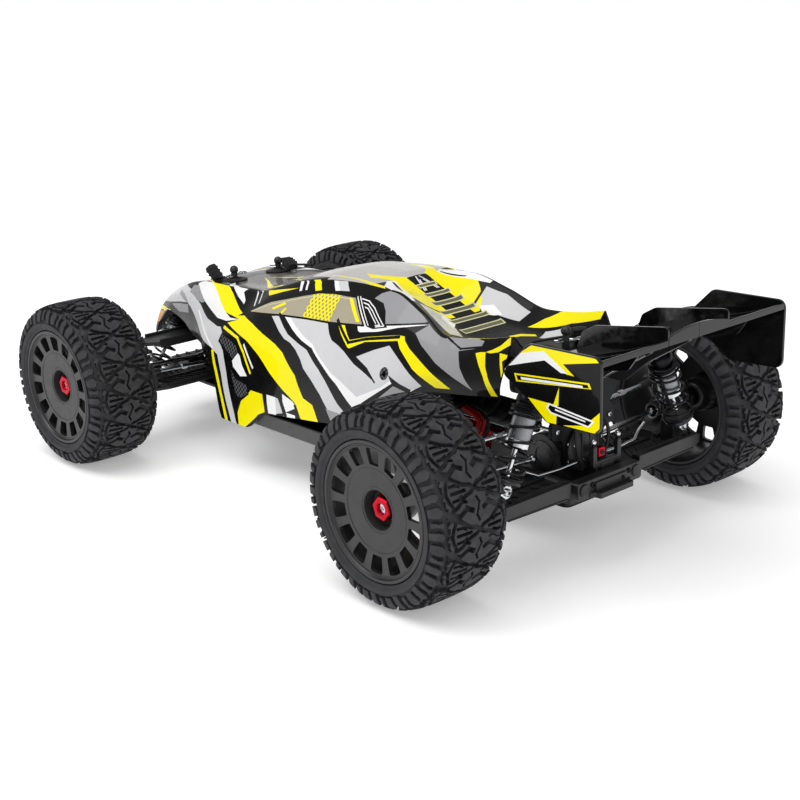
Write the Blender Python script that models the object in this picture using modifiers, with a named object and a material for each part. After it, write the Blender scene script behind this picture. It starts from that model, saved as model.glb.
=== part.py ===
"""A 1:8 scale long-wheelbase radio-controlled truggy.

All lengths are in millimetres and are turned into metres where a shape is made. +X is the
car's left, the front faces -Y and +Z is up. Each side of the car is built by the same
functions, with side = 1 on the left and -1 on the right.
"""

from math import atan2, cos, pi, radians, sin

import bmesh
import bpy
from mathutils import Matrix, Vector

MM = 0.001

# Driving dimensions
WHEELBASE = 436
TYRE_DIAMETER = 150
TYRE_WIDTH = 68
WHEEL_CENTRE_X = 165  # from the centre line to the middle plane of a wheel
REAR_OVERHANG = 128  # from the rear axle to the wing's trailing edge
CHASSIS_BOTTOM = 41
CHASSIS_THICKNESS = 3
SHELL_THICKNESS = 1.5
GAP = 0.3

# Suspension: both axles share one parallelogram, seen from the front as (x, z)
ARM_SPAN = (82, 4)  # from an inner pivot to the matching outer pivot
LOWER_PIVOT_X = 32
LOWER_PIVOT_Z = {"front": 54, "rear": 57}
UPPER_PIVOT = (30, 97)
SHAFT_PIVOT = (34, 71)
SHOCK_TOP = {"front": (30, 114), "rear": (70, 145)}
SHOCK_FOOT = {"front": (70, 58), "rear": (103, 74)}
SHOCK_Y = {"front": -252, "rear": 254}
SHOCK_RADIUS = {"front": 7.6, "rear": 9.2}
SHOCK_BOTTOM = {"front": 42, "rear": 49}  # along the shock, from its top eye
PISTON_START = {"front": 28, "rear": 33.5}
PIN_RADIUS = 1.7
BORE_RADIUS = 2.4
BARREL_RADIUS = 4.2

# Worked out from the dimensions above
TYRE_RADIUS = TYRE_DIAMETER / 2
AXLE_Z = TYRE_RADIUS
AXLE_Y = {"front": -WHEELBASE / 2, "rear": WHEELBASE / 2}
FRONT_TIP_Y = AXLE_Y["front"] - TYRE_RADIUS
REAR_TIP_Y = AXLE_Y["rear"] + REAR_OVERHANG
MIDDLE_Y = (FRONT_TIP_Y + REAR_TIP_Y) / 2
CHASSIS_TOP = CHASSIS_BOTTOM + CHASSIS_THICKNESS
LOWER_OUTER_X = LOWER_PIVOT_X + ARM_SPAN[0]
UPPER_OUTER = (UPPER_PIVOT[0] + ARM_SPAN[0], UPPER_PIVOT[1] + ARM_SPAN[1])
SHAFT_OUTER = (SHAFT_PIVOT[0] + ARM_SPAN[0], SHAFT_PIVOT[1] + ARM_SPAN[1])

# Steering
STEERING_RADIUS = 26
TIE_ROD_Y = AXLE_Y["front"] + STEERING_RADIUS

# Wheel
WHEEL_SIDES = 20
RIM_WINDOWS = 14

# Drive
GEAR_MODULE = 1.5
SPUR_TEETH = 30
PINION_TEETH = 10
GEAR_Y = (67, 73)
DRIVE_LINE_Z = SHAFT_PIVOT[1]
MOTOR_RADIUS = 20.5
MOTOR_Z = CHASSIS_TOP + GAP + MOTOR_RADIUS
GEAR_DISTANCE = GEAR_MODULE * (SPUR_TEETH + PINION_TEETH) / 2
MOTOR_X = (GEAR_DISTANCE**2 - (DRIVE_LINE_Z - MOTOR_Z) ** 2) ** 0.5

# Body posts
FRONT_POST = (26, -170, 160)
REAR_POST = (0, 222, 164)
POST_RADIUS = 3

# The shell's cross sections: y, then (x, z) from the centre line down to the lower edge
SHELL_SECTIONS = [
    (-286, [(0, 101), (20, 101), (34, 99), (40, 96), (43, 92), (44, 88), (44, 84)]),
    (-274, [(0, 118), (20, 118), (36, 117), (42, 113), (45, 108), (46, 104), (46, 99)]),
    (-240, [(0, 136), (22, 136), (42, 137), (50, 131), (53, 124), (55, 120), (56, 117)]),
    (-205, [(0, 147), (24, 147), (45, 149), (57, 139), (61, 130), (63, 122), (64, 114)]),
    (-175, [(0, 151), (25, 151), (47, 153), (61, 141), (68, 129), (71, 118), (73, 106)]),
    (-150, [(0, 152), (26, 152), (48, 154), (64, 140), (74, 125), (79, 116), (82, 105)]),
    (-126, [(0, 153), (26, 153), (47, 155), (66, 139), (79, 120), (86, 102), (89, 88)]),
    (-110, [(0, 155), (26, 155), (46, 155), (67, 138), (81, 117), (89, 82), (92, 44)]),
    (-75, [(0, 167), (26, 167), (45, 164), (66, 146), (81, 120), (90, 84), (92, 44)]),
    (-45, [(0, 177), (25, 176), (44, 173), (65, 149), (81, 122), (90, 92), (91, 62)]),
    (0, [(0, 186), (24, 185), (43, 181), (64, 155), (81, 126), (89, 95), (90, 68)]),
    (45, [(0, 187), (24, 186), (44, 184), (63, 160), (80, 130), (88, 98), (89, 74)]),
    (80, [(0, 174), (12, 174), (45, 184), (63, 160), (78, 130), (85, 108), (87, 92)]),
    (115, [(0, 160), (21, 160), (50, 175), (64, 156), (76, 134), (80, 122), (81, 110)]),
    (150, [(0, 151), (28, 151), (57, 162), (66, 149), (73, 136), (75, 129), (75, 120)]),
    (185, [(0, 148), (30, 148), (54, 166), (63, 151), (69, 138), (71, 131), (71, 124)]),
    (217, [(0, 147), (30, 147), (52, 173), (60, 156), (66, 142), (68, 135), (68, 128)]),
]

parts = None
cutters = None
materials = {}


# ---------------------------------------------------------------- scene and objects


def clear_scene():
    for obj in list(bpy.data.objects):
        bpy.data.objects.remove(obj)


def new_collection(name):
    collection = bpy.data.collections.new(name)
    bpy.context.scene.collection.children.link(collection)
    return collection


def add_material(name, colour, roughness, metallic=0.0):
    made = bpy.data.materials.new(name)
    made.use_nodes = True
    shader = made.node_tree.nodes["Principled BSDF"]
    shader.inputs["Base Color"].default_value = (*colour, 1)
    shader.inputs["Roughness"].default_value = roughness
    shader.inputs["Metallic"].default_value = metallic
    materials[name] = made


def place(obj, at, parent):
    """Puts obj at a point of the car, under an empty that carries its body."""
    obj.parent = parent
    origin = Vector(parent["at"]) if parent else Vector((0, 0, 0))
    obj.location = (Vector(at) - origin) * MM


def body_empty(name, at, parent):
    """An empty on a body's joint axis. Everything that moves with the body hangs from it."""
    made = bpy.data.objects.new(name, None)
    made.empty_display_size = 0.01
    made["at"] = at
    parts.objects.link(made)
    place(made, at, parent)
    return made


def mesh_object(name, mesh, at, body, collection):
    made = bpy.data.objects.new(name, mesh)
    collection.objects.link(made)
    place(made, at, body)
    return made


def node(name, body, material, solids, cuts=()):
    """One piece: the first solid, with the others joined to it and the cuts taken out."""
    at = body["at"]
    shift = Matrix.Translation(-Vector(at) * MM)
    for mesh in (*solids, *cuts):
        mesh.transform(shift)
    piece = mesh_object(name, solids[0], at, body, parts)
    piece.data.materials.append(materials[material])
    steps = [("UNION", mesh) for mesh in solids[1:]] + [("DIFFERENCE", mesh) for mesh in cuts]
    for number, (operation, mesh) in enumerate(steps):
        other = mesh_object(f"{name}_{operation.lower()}_{number}", mesh, at, body, cutters)
        other.hide_render = True
        other.display_type = "WIRE"
        modifier = piece.modifiers.new(other.name, "BOOLEAN")
        modifier.operation = operation
        modifier.solver = "EXACT"
        modifier.object = other
    piece.data.shade_smooth()
    piece.data.set_sharp_from_angle(angle=radians(35))
    return piece


# ---------------------------------------------------------------- solids


def finished(bm, name):
    bmesh.ops.recalc_face_normals(bm, faces=bm.faces)
    mesh = bpy.data.meshes.new(name)
    bm.to_mesh(mesh)
    bm.free()
    return mesh


def box(low, high):
    """A box between two opposite corners, given in any order."""
    low, high = Vector(low) * MM, Vector(high) * MM
    bm = bmesh.new()
    bmesh.ops.create_cube(bm, size=1)
    size = [abs(a - b) for a, b in zip(low, high)]
    bmesh.ops.scale(bm, vec=size, verts=bm.verts)
    bmesh.ops.translate(bm, vec=(low + high) / 2, verts=bm.verts)
    return finished(bm, "box")


def rod(start, end, radius, sides=8, end_radius=None):
    """A cylinder, or a cone, from one point to another."""
    start, end = Vector(start) * MM, Vector(end) * MM
    along = end - start
    bm = bmesh.new()
    bmesh.ops.create_cone(
        bm,
        cap_ends=True,
        segments=sides,
        radius1=radius * MM,
        radius2=(radius if end_radius is None else end_radius) * MM,
        depth=along.length,
    )
    turn = Vector((0, 0, 1)).rotation_difference(along).to_matrix().to_4x4()
    half_step = Matrix.Rotation(pi / sides, 4, "Z")
    bm.transform(Matrix.Translation((start + end) / 2) @ turn @ half_step)
    return finished(bm, "rod")


def ball(centre, radius):
    bm = bmesh.new()
    bmesh.ops.create_uvsphere(bm, u_segments=8, v_segments=5, radius=radius * MM)
    bmesh.ops.translate(bm, vec=Vector(centre) * MM, verts=bm.verts)
    return finished(bm, "ball")


def evaluated_mesh(obj):
    """The object's final mesh in world space, welded. The object itself is removed."""
    bpy.context.view_layer.update()
    graph = bpy.context.evaluated_depsgraph_get()
    mesh = bpy.data.meshes.new_from_object(obj.evaluated_get(graph))
    mesh.transform(obj.matrix_world)
    bpy.data.objects.remove(obj)
    bm = bmesh.new()
    bm.from_mesh(mesh)
    bmesh.ops.remove_doubles(bm, verts=bm.verts, dist=1e-6)
    bmesh.ops.recalc_face_normals(bm, faces=bm.faces)
    bm.to_mesh(mesh)
    bm.free()
    return mesh


def plate(outline, axis, low, high):
    """A flat outline, filled and made thick along an axis between two heights on it.

    The outline's points are (x, y) for axis Z, (x, z) for axis Y and (y, z) for axis X.
    """
    curve = bpy.data.curves.new("outline", "CURVE")
    curve.dimensions = "2D"
    curve.fill_mode = "BOTH"
    curve.extrude = abs(high - low) / 2 * MM
    spline = curve.splines.new("POLY")
    spline.points.add(len(outline) - 1)
    for point, (a, b) in zip(spline.points, outline):
        point.co = (a * MM, b * MM, 0, 1)
    spline.use_cyclic_u = True
    obj = bpy.data.objects.new("outline", curve)
    bpy.context.scene.collection.objects.link(obj)
    middle = (low + high) / 2 * MM
    if axis == "Z":
        obj.matrix_world = Matrix.Translation((0, 0, middle))
    elif axis == "Y":
        obj.matrix_world = Matrix.Translation((0, middle, 0)) @ Matrix.Rotation(pi / 2, 4, "X")
    else:
        turn = Matrix(((0, 0, 1, 0), (1, 0, 0, 0), (0, 1, 0, 0), (0, 0, 0, 1)))
        obj.matrix_world = Matrix.Translation((middle, 0, 0)) @ turn
    return evaluated_mesh(obj)


def turned(profile, start, towards, sides):
    """A profile of (along, radius) points, turned about the line from start.

    The profile is closed, unless both of its ends are on the line.
    """
    mesh = bpy.data.meshes.new("profile")
    points = [(radius * MM, 0, along * MM) for along, radius in profile]
    edges = [(i, i + 1) for i in range(len(points) - 1)]
    if profile[0][1] > 0:
        edges.append((len(points) - 1, 0))
    mesh.from_pydata(points, edges, [])
    obj = bpy.data.objects.new("profile", mesh)
    bpy.context.scene.collection.objects.link(obj)
    screw = obj.modifiers.new("Screw", "SCREW")
    screw.steps = screw.render_steps = sides
    screw.use_merge_vertices = True
    screw.merge_threshold = 1e-6
    turn = Vector((0, 0, 1)).rotation_difference(Vector(towards)).to_matrix().to_4x4()
    half_step = Matrix.Rotation(pi / sides, 4, "Z")
    obj.matrix_world = Matrix.Translation(Vector(start) * MM) @ turn @ half_step
    return evaluated_mesh(obj)


def coil(start, end, radius, wire, turns, points_per_turn=8):
    """A helical wire between two points, its end turns closed up flat."""
    start, end = Vector(start) * MM, Vector(end) * MM
    along = end - start
    across = along.cross(Vector((0, 1, 0))).normalized()
    other = along.normalized().cross(across)
    count = int(turns * points_per_turn)
    curve = bpy.data.curves.new("coil", "CURVE")
    curve.dimensions = "3D"
    curve.bevel_depth = wire * MM
    curve.bevel_resolution = 0
    curve.use_fill_caps = True
    spline = curve.splines.new("POLY")
    spline.points.add(count)
    for i, point in enumerate(spline.points):
        angle = 2 * pi * i / points_per_turn
        place_on_wire = (across * cos(angle) + other * sin(angle)) * radius * MM
        point.co = (*(start + along * i / count + place_on_wire), 1)
    obj = bpy.data.objects.new("coil", curve)
    bpy.context.scene.collection.objects.link(obj)
    return evaluated_mesh(obj)


def gear(x, z, y_range, teeth, phase):
    """A spur gear about a line along Y. Phase turns it by that share of one tooth."""
    pitch = GEAR_MODULE * teeth / 2
    step = 2 * pi / teeth
    outline = []
    for tooth in range(teeth):
        middle = (tooth + phase) * step
        for angle, radius in (
            (-0.30, pitch - 1.1 * GEAR_MODULE),
            (-0.12, pitch + 0.7 * GEAR_MODULE),
            (0.12, pitch + 0.7 * GEAR_MODULE),
            (0.30, pitch - 1.1 * GEAR_MODULE),
        ):
            turn = middle + angle * step
            outline.append((x + radius * cos(turn), z + radius * sin(turn)))
    return plate(outline, "Y", *y_range)


def mirrored(outline):
    """Adds the other half of an outline that is given for x > 0, from one end to the other."""
    return outline + [(-x, z) for x, z in reversed(outline)]


# ---------------------------------------------------------------- suspension and wheels


def corner_body(end, side_name, piece, point, parent):
    side = 1 if side_name == "left" else -1
    x, y, z = point
    return body_empty(f"{end}_{side_name}_{piece}_pivot", (side * x, y, z), parent)


def lower_arm(end, side_name, body):
    side = 1 if side_name == "left" else -1
    axle = AXLE_Y[end]
    inner_z = LOWER_PIVOT_Z[end]
    outer_z = inner_z + ARM_SPAN[1]
    foot_x, foot_z = SHOCK_FOOT[end]
    shock_y = SHOCK_Y[end]

    def at(x, y, z):
        return (side * x, y, z)

    low, high = inner_z - 1, inner_z + (5 if end == "front" else 4)
    if end == "front":
        inner = (axle - 23, axle + 25)
        wide = (axle - 23, axle + 23)
        front_lug = (axle - 23, axle - 11)
        rear_lug = (axle + 11, axle + 23)
        extra = [rod(at(foot_x, axle - 21, foot_z), at(foot_x, shock_y - 5, foot_z), PIN_RADIUS)]
    else:
        inner = (axle - 18, axle + 38)
        wide = (axle - 16, axle + 37)
        front_lug = (axle - 17, axle - 11)
        rear_lug = (axle + 12, axle + 44)
        tab = (foot_x - 6, axle + 20), (foot_x + 5, axle + 25)
        extra = [
            box(at(39.5, axle + 36, inner_z - 4.5), at(117, axle + 46, inner_z + 8.5)),
            box(at(88, axle + 13, low + 0.5), at(110, axle + 37, high - 0.5)),
            box(at(*tab[0], inner_z), at(*tab[1], foot_z + 3.6)),
            rod(at(foot_x, axle + 24, foot_z), at(foot_x, shock_y + 5.5, foot_z), PIN_RADIUS),
        ]

    def pin(start, end_y, radius):
        return rod(at(LOWER_OUTER_X, start, outer_z), at(LOWER_OUTER_X, end_y, outer_z), radius)

    solids = [
        box(at(LOWER_PIVOT_X, wide[0], low), at(92, wide[1], high)),
        rod(at(LOWER_PIVOT_X, inner[0], inner_z), at(LOWER_PIVOT_X, inner[1], inner_z), 5),
        box(at(88, front_lug[0], low + 1), at(LOWER_OUTER_X, front_lug[1], high + 1)),
        box(at(88, rear_lug[0], low + 1), at(LOWER_OUTER_X, rear_lug[1] - 8, high + 1)),
        pin(front_lug[0], front_lug[1], BARREL_RADIUS),
        pin(rear_lug[0], rear_lug[1], BARREL_RADIUS),
        pin(front_lug[0] + 2, rear_lug[1] - 2, PIN_RADIUS),
        *extra,
    ]
    bore = rod(
        at(LOWER_PIVOT_X, inner[0] - 3, inner_z), at(LOWER_PIVOT_X, inner[1] + 3, inner_z), BORE_RADIUS
    )
    node(f"{end}_{side_name}_lower_arm", body, "black plastic", solids, [bore])


def upper_arm(end, side_name, body):
    side = 1 if side_name == "left" else -1
    axle = AXLE_Y[end]
    (inner_x, inner_z), (outer_x, outer_z) = UPPER_PIVOT, UPPER_OUTER
    inner = (axle - 14, axle + 16) if end == "front" else (axle - 5, axle + 5)
    width = (-12, 14, 5) if end == "front" else (-3, 3, 3)
    solids = [
        rod((side * inner_x, inner[0], inner_z), (side * inner_x, inner[1], inner_z), 4.5),
        rod((side * outer_x, axle - 5.6, outer_z), (side * outer_x, axle + 5.6, outer_z), 4.5),
        plate(
            [
                (side * inner_x, axle + width[0]),
                (side * (outer_x - 1), axle - width[2]),
                (side * (outer_x - 1), axle + width[2]),
                (side * inner_x, axle + width[1]),
            ],
            "Z",
            inner_z - 0.5,
            outer_z + 1,
        ),
    ]
    cuts = [
        rod((side * x, axle - 20, z), (side * x, axle + 20, z), BORE_RADIUS)
        for x, z in (UPPER_PIVOT, UPPER_OUTER)
    ]
    name = "upper_arm" if end == "front" else "camber_link"
    node(f"{end}_{side_name}_{name}", body, "black plastic", solids, cuts)


def upper_ears(side, axle, inner_x):
    """The fork that holds the upper arm's outer end, with its pin."""
    outer_x, outer_z = UPPER_OUTER
    ears = [
        box((side * (outer_x - 4.5), axle + y[0], 91), (side * inner_x, axle + y[1], outer_z + 4.5))
        for y in ((-9.5, -6.6), (6.6, 9.5))
    ]
    pin = rod((side * outer_x, axle - 9, outer_z), (side * outer_x, axle + 9, outer_z), PIN_RADIUS)
    return [*ears, pin]


def front_carrier(side_name, body):
    """The C-shaped hub carrier, with the two kingpins that the knuckle turns on."""
    side = 1 if side_name == "left" else -1
    axle = AXLE_Y["front"]
    pin_z = LOWER_PIVOT_Z["front"] + ARM_SPAN[1]
    king_x = SHAFT_OUTER[0]
    half = 9.5

    pin_x = side * LOWER_OUTER_X

    def slab(x, y, z):
        return box((side * x[0], axle + y[0], z[0]), (side * x[1], axle + y[1], z[1]))

    solids = [
        slab((96, 121), (-half, half), (pin_z - 0.5, 62.1)),
        slab((97, 121), (-half, half), (87.5, 91)),
        slab((96, 103), (-half, -6), (58.5, 90)),
        slab((96, 103), (6, half), (58.5, 90)),
        rod((pin_x, axle - half, pin_z), (pin_x, axle + half, pin_z), BARREL_RADIUS),
        rod((side * king_x, axle, 60), (side * king_x, axle, 66.2), PIN_RADIUS),
        rod((side * king_x, axle, 83.8), (side * king_x, axle, 90), PIN_RADIUS),
        *upper_ears(side, axle, 117),
    ]
    bore = rod(
        (side * LOWER_OUTER_X, axle - 15, pin_z), (side * LOWER_OUTER_X, axle + 15, pin_z), BORE_RADIUS
    )
    node(f"front_{side_name}_hub_carrier", body, "black plastic", solids, [bore])


def bearing_housing(side, axle):
    start = (side * 122.5, axle, AXLE_Z)
    end = (side * 136, axle, AXLE_Z)
    bore = rod((side * 118, axle, AXLE_Z), (side * 140, axle, AXLE_Z), 5.3, 12)
    return rod(start, end, 12.5, 14), bore


def steering_knuckle(side_name, body):
    side = 1 if side_name == "left" else -1
    axle = AXLE_Y["front"]
    king_x = SHAFT_OUTER[0]
    housing, bore = bearing_housing(side, axle)
    solids = [housing]
    for low, high in ((62.8, 66.4), (83.6, 87.2)):
        solids.append(rod((side * king_x, axle, low), (side * king_x, axle, high), 6))
        solids.append(box((side * king_x, axle - 5.5, low), (side * 128, axle + 5.5, high)))
    arm = [(123, 5), (131, 5), (131, 14), (121, 31), (111, 31), (111, 22), (119, 10)]
    solids.append(plate([(side * x, axle + y) for x, y in arm], "Z", 64.6, 69))
    king_bore = rod((side * king_x, axle, 60), (side * king_x, axle, 67.4), BORE_RADIUS)
    upper_bore = rod((side * king_x, axle, 82), (side * king_x, axle, 90), BORE_RADIUS)
    name = f"front_{side_name}_steering_knuckle"
    node(name, body, "black plastic", solids, [bore, king_bore, upper_bore])


def rear_carrier(side_name, body):
    side = 1 if side_name == "left" else -1
    axle = AXLE_Y["rear"]
    pin_z = LOWER_PIVOT_Z["rear"] + ARM_SPAN[1]
    housing, bore = bearing_housing(side, axle)
    pin_x = side * LOWER_OUTER_X
    barrel = (axle - 9.8, axle + 10.8)
    solids = [
        housing,
        box((side * 113, axle - 8, 60), (side * 128, axle + 8, 66.5)),
        box((side * 119, axle - 9.5, 84), (side * 128, axle + 9.5, 105.5)),
        rod((pin_x, barrel[0], pin_z), (pin_x, barrel[1], pin_z), BARREL_RADIUS),
        *upper_ears(side, axle, 124),
    ]
    pin_bore = rod((pin_x, axle - 15, pin_z), (pin_x, axle + 15, pin_z), BORE_RADIUS)
    node(f"rear_{side_name}_hub_carrier", body, "black plastic", solids, [bore, pin_bore])


def drive_shaft(end, side_name, body):
    side = 1 if side_name == "left" else -1
    axle = AXLE_Y[end]
    inner = (side * SHAFT_PIVOT[0], axle, SHAFT_PIVOT[1])
    outer = (side * SHAFT_OUTER[0], axle, SHAFT_OUTER[1])
    solids = [rod(inner, outer, 2.2), ball(inner, 4.1), ball(outer, 4.1)]
    node(f"{end}_{side_name}_drive_shaft", body, "steel", solids)


def shock_line(end, side_name):
    """The shock's top and foot, and the unit vector that runs down it."""
    side = 1 if side_name == "left" else -1
    y = SHOCK_Y[end]
    top = Vector((side * SHOCK_TOP[end][0], y, SHOCK_TOP[end][1]))
    foot = Vector((side * SHOCK_FOOT[end][0], y, SHOCK_FOOT[end][1]))
    return top, foot, (foot - top).normalized()


def shock_parts(end, side_name, body, rod_body):
    top, foot, down = shock_line(end, side_name)
    length = (foot - top).length
    across = Vector((0, 4, 0))
    bottom = SHOCK_BOTTOM[end]
    piston = PISTON_START[end]
    wide = SHOCK_RADIUS[end]
    bore = wide - 1.6
    shell = turned(
        [(4, 0), (4, 7), (12, wide + 0.8), (16.8, wide), (16.8, wide + 2.6), (20.6, wide + 2.6),
         (20.6, wide), (bottom, wide), (bottom, bore), (13, bore), (13, 0)],
        top, down, 12,
    )
    eye = rod(top - across, top + across, 5)
    hole = rod(top - 2 * across, top + 2 * across, 2.6)
    node(f"{end}_{side_name}_shock_body", body, "black metal", [shell, eye], [hole])
    foot_eye = rod(foot - across, foot + across, 5.6)
    foot_hole = rod(foot - 2 * across, foot + 2 * across, 3.4)
    perch = turned(
        [(length - 8.6, 0), (length - 8.6, wide + 2), (length - 6, wide + 2.4),
         (length - 4.5, 4), (length - 4.5, 0)],
        top, down, 12,
    )
    stem = rod(top + down * (piston + 1), foot - down * 4, 1.8)
    head = rod(top + down * piston, top + down * (piston + 3), bore - 0.6, 10)
    solids = [foot_eye, perch, stem, head]
    node(f"{end}_{side_name}_shock_shaft", rod_body, "steel", solids, [foot_hole])
    wire = 0.145 * wide
    first = top + down * (20.6 + wire + GAP)
    last = top + down * (length - 8.6 - wire - GAP)
    spring = coil(first, last, 1.27 * wide, wire, 5)
    node(f"{end}_{side_name}_shock_spring", body, "spring steel", [spring])


def wheel(end, side_name, body):
    side = 1 if side_name == "left" else -1
    centre = (side * WHEEL_CENTRE_X, AXLE_Y[end], AXLE_Z)
    outwards = (side, 0, 0)
    half = TYRE_WIDTH / 2
    flat = 1 / cos(pi / WHEEL_SIDES)  # the wheel stands on a flat of its many-sided tread
    crown = TYRE_RADIUS * flat
    tyre_profile = [
        (-half + 3, 50.8), (-half, 60), (-half + 4, 71), (-half + 11, crown),
        (half - 11, crown), (half - 4, 71), (half, 60), (half - 3, 53.6), (27.7, 53.6), (27.7, 50.8),
        (23, 50.8), (27, 60), (24, 68), (19, 70), (-19, 70), (-24, 68), (-27, 60), (-24, 50.8),
    ]
    tyre = turned(tyre_profile, centre, outwards, WHEEL_SIDES)
    node(f"{end}_{side_name}_tyre", body, "tyre rubber", [tyre])
    rim_profile = [
        (31.5, 53), (31.5, 50), (29.5, 48.5), (26, 15), (17, 14), (16, 12), (16, 4.7), (-1, 4.7),
        (-1, 13), (8, 17), (22, 19), (25, 47), (-31, 47), (-31, 50), (28, 50), (28, 53),
    ]
    rim = turned(rim_profile, centre, outwards, WHEEL_SIDES)
    windows = [rim_window(side, centre, i) for i in range(RIM_WINDOWS)]
    node(f"{end}_{side_name}_rim", body, "rim plastic", [rim], windows)

    def on_axle(x):
        return (side * x, centre[1], centre[2])

    solids = [
        rod(on_axle(111.2), on_axle(121.7), 6.8, 12),
        rod(on_axle(120), on_axle(186), 4, 10),
        rod(on_axle(152), on_axle(163.6), 8.5, 6),
        rod(on_axle(181.2), on_axle(188.5), 9.8, 6),
    ]
    cup = rod(on_axle(108), on_axle(120.3), 5.4, 12)
    node(f"{end}_{side_name}_axle", body, "steel", solids, [cup])


def rim_window(side, centre, number):
    """One opening of the rim's disc, a block that is wider at its outer end."""
    angle = 2 * pi * number / RIM_WINDOWS
    outline = [(34, -4.6), (34, 4.6), (46.2, 6.6), (46.2, -6.6)]
    turn = [
        (centre[1] + r * cos(angle) - w * sin(angle), centre[2] + r * sin(angle) + w * cos(angle))
        for r, w in outline
    ]
    return plate(turn, "X", side * (WHEEL_CENTRE_X + 19), side * (WHEEL_CENTRE_X + 36))


def build_corner(end, side_name, chassis):
    axle = AXLE_Y[end]
    arm = corner_body(end, side_name, "arm", (LOWER_PIVOT_X, axle, LOWER_PIVOT_Z[end]), chassis)
    lower_arm(end, side_name, arm)
    link = corner_body(end, side_name, "upper_arm", (UPPER_PIVOT[0], axle, UPPER_PIVOT[1]), chassis)
    upper_arm(end, side_name, link)
    shaft = corner_body(end, side_name, "drive_shaft", (SHAFT_PIVOT[0], axle, SHAFT_PIVOT[1]), chassis)
    drive_shaft(end, side_name, shaft)
    shock_at = (SHOCK_TOP[end][0], SHOCK_Y[end], SHOCK_TOP[end][1])
    shock = corner_body(end, side_name, "shock", shock_at, chassis)
    foot_at = (SHOCK_FOOT[end][0], SHOCK_Y[end], SHOCK_FOOT[end][1])
    shock_rod = corner_body(end, side_name, "shock_shaft", foot_at, shock)
    shock_parts(end, side_name, shock, shock_rod)
    outer_pin = (LOWER_OUTER_X, axle, LOWER_PIVOT_Z[end] + ARM_SPAN[1])
    upright = corner_body(end, side_name, "carrier", outer_pin, arm)
    if end == "front":
        front_carrier(side_name, upright)
        upright = corner_body(end, side_name, "knuckle", (SHAFT_OUTER[0], axle, AXLE_Z), upright)
        steering_knuckle(side_name, upright)
    else:
        rear_carrier(side_name, upright)
    hub = corner_body(end, side_name, "wheel", (WHEEL_CENTRE_X, axle, AXLE_Z), upright)
    wheel(end, side_name, hub)


# ---------------------------------------------------------------- chassis and drive line


def pin_holder(y, z_top):
    return [
        box((side * 26, y[0], CHASSIS_TOP - 1), (side * 38, y[1], z_top)) for side in (1, -1)
    ]


def chassis_plate(chassis):
    half_outline = [
        (34, -262), (36, -180), (58, -120), (60, -60), (60, 90), (40, 150), (36, 256),
    ]
    deck = plate(mirrored(half_outline), "Z", CHASSIS_BOTTOM, CHASSIS_TOP)
    guards = []
    for side in (1, -1):
        section = [(56, 42), (84, 46), (87, 58), (85, 58), (81.5, 49), (56, 46)]
        outline = [(side * x, z) for x, z in section]
        guards.append(plate(outline, "Y", -104, 118))
    posts = []
    for side in (1, -1):
        x, y, z = side * FRONT_POST[0], FRONT_POST[1], FRONT_POST[2]
        posts.append(rod((x, y, CHASSIS_TOP - 1), (x, y, z), POST_RADIUS))
    holders = pin_holder((-190, -183), 60) + pin_holder((189, 196), 63)
    node("chassis_plate", chassis, "anodised aluminium", [deck, *guards, *posts, *holders])


def bumpers(chassis):
    front_z, rear_z = LOWER_PIVOT_Z["front"], LOWER_PIVOT_Z["rear"]
    front = [
        box((-37, -262, CHASSIS_TOP + GAP), (37, -242.5, 61)),
        plate(mirrored([(26, -288), (40, -278), (42, -258)]), "Z", 46, 56),
    ]
    rear = [
        box((-37, 258, 49), (37, 268, 64)),
        box((-30, 238, CHASSIS_TOP + GAP), (30, 262, 52)),
        box((-22, 264, 49.5), (22, 276, 53.5)),
    ]
    for side in (1, -1):
        x = side * LOWER_PIVOT_X
        front.append(rod((x, -245, front_z), (x, -190.5, front_z), PIN_RADIUS))
        rear.append(rod((x, 262, rear_z), (x, 196.5, rear_z), PIN_RADIUS))
        rear.append(rod((x, 266, 56), (x, 270, 56), 4.6))
    node("front_bumper", chassis, "black plastic", front)
    node("rear_bumper", chassis, "black plastic", rear)


def gearbox(end, chassis):
    axle = AXLE_Y[end]
    y = (axle - 18, axle + 18)
    low = CHASSIS_TOP + GAP
    solids = [
        box((-22, y[0], low), (22, y[1], 82)),
        rod((-24, axle, DRIVE_LINE_Z), (24, axle, DRIVE_LINE_Z), 18, 14),
    ]
    cuts = []
    for side in (1, -1):
        cup = [(side * x, axle, DRIVE_LINE_Z) for x in (20, 40, 28, 44)]
        solids.append(rod(cup[0], cup[1], 7.6, 12))
        cuts.append(rod(cup[2], cup[3], 5.4, 12))
    node(f"{end}_gearbox", chassis, "black plastic", solids, cuts)


def shock_tower(end, chassis):
    """The plate that the shocks hang from, with their pins and the upper arms' pins."""
    sign = -1 if end == "front" else 1
    axle = AXLE_Y[end]
    near, far = axle + sign * 18.4, axle + sign * 22.6
    top_x, top_z = SHOCK_TOP[end]
    if end == "front":
        half = [(20, 60), (24, 86), (36, 91), (36, 103), (28, 106), (39, 113), (36, 122)]
    else:
        half = [
            (20, 66), (24, 88), (36, 91), (36, 103), (30, 108), (56, 132), (77, 139), (78, 150),
            (66, 153), (34, 146), (22, 154),
        ]
    solids = [plate(mirrored(half), "Y", near, far)]
    for side in (1, -1):
        shock_pin = [(side * top_x, y, top_z) for y in (near + sign, SHOCK_Y[end] + sign * 5)]
        solids.append(rod(*shock_pin, 2))
        arm_pin = [(side * UPPER_PIVOT[0], y, UPPER_PIVOT[1]) for y in (far, axle - sign * 12)]
        solids.append(rod(*arm_pin, PIN_RADIUS))
    if end == "rear":
        x, y, z = REAR_POST
        solids.append(box((-6, y - 4, 98), (6, far - 1, 106)))
        solids.append(rod((x, y, 100), (x, y, z), POST_RADIUS))
    node(f"{end}_shock_tower", chassis, "black metal", solids)


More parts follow.
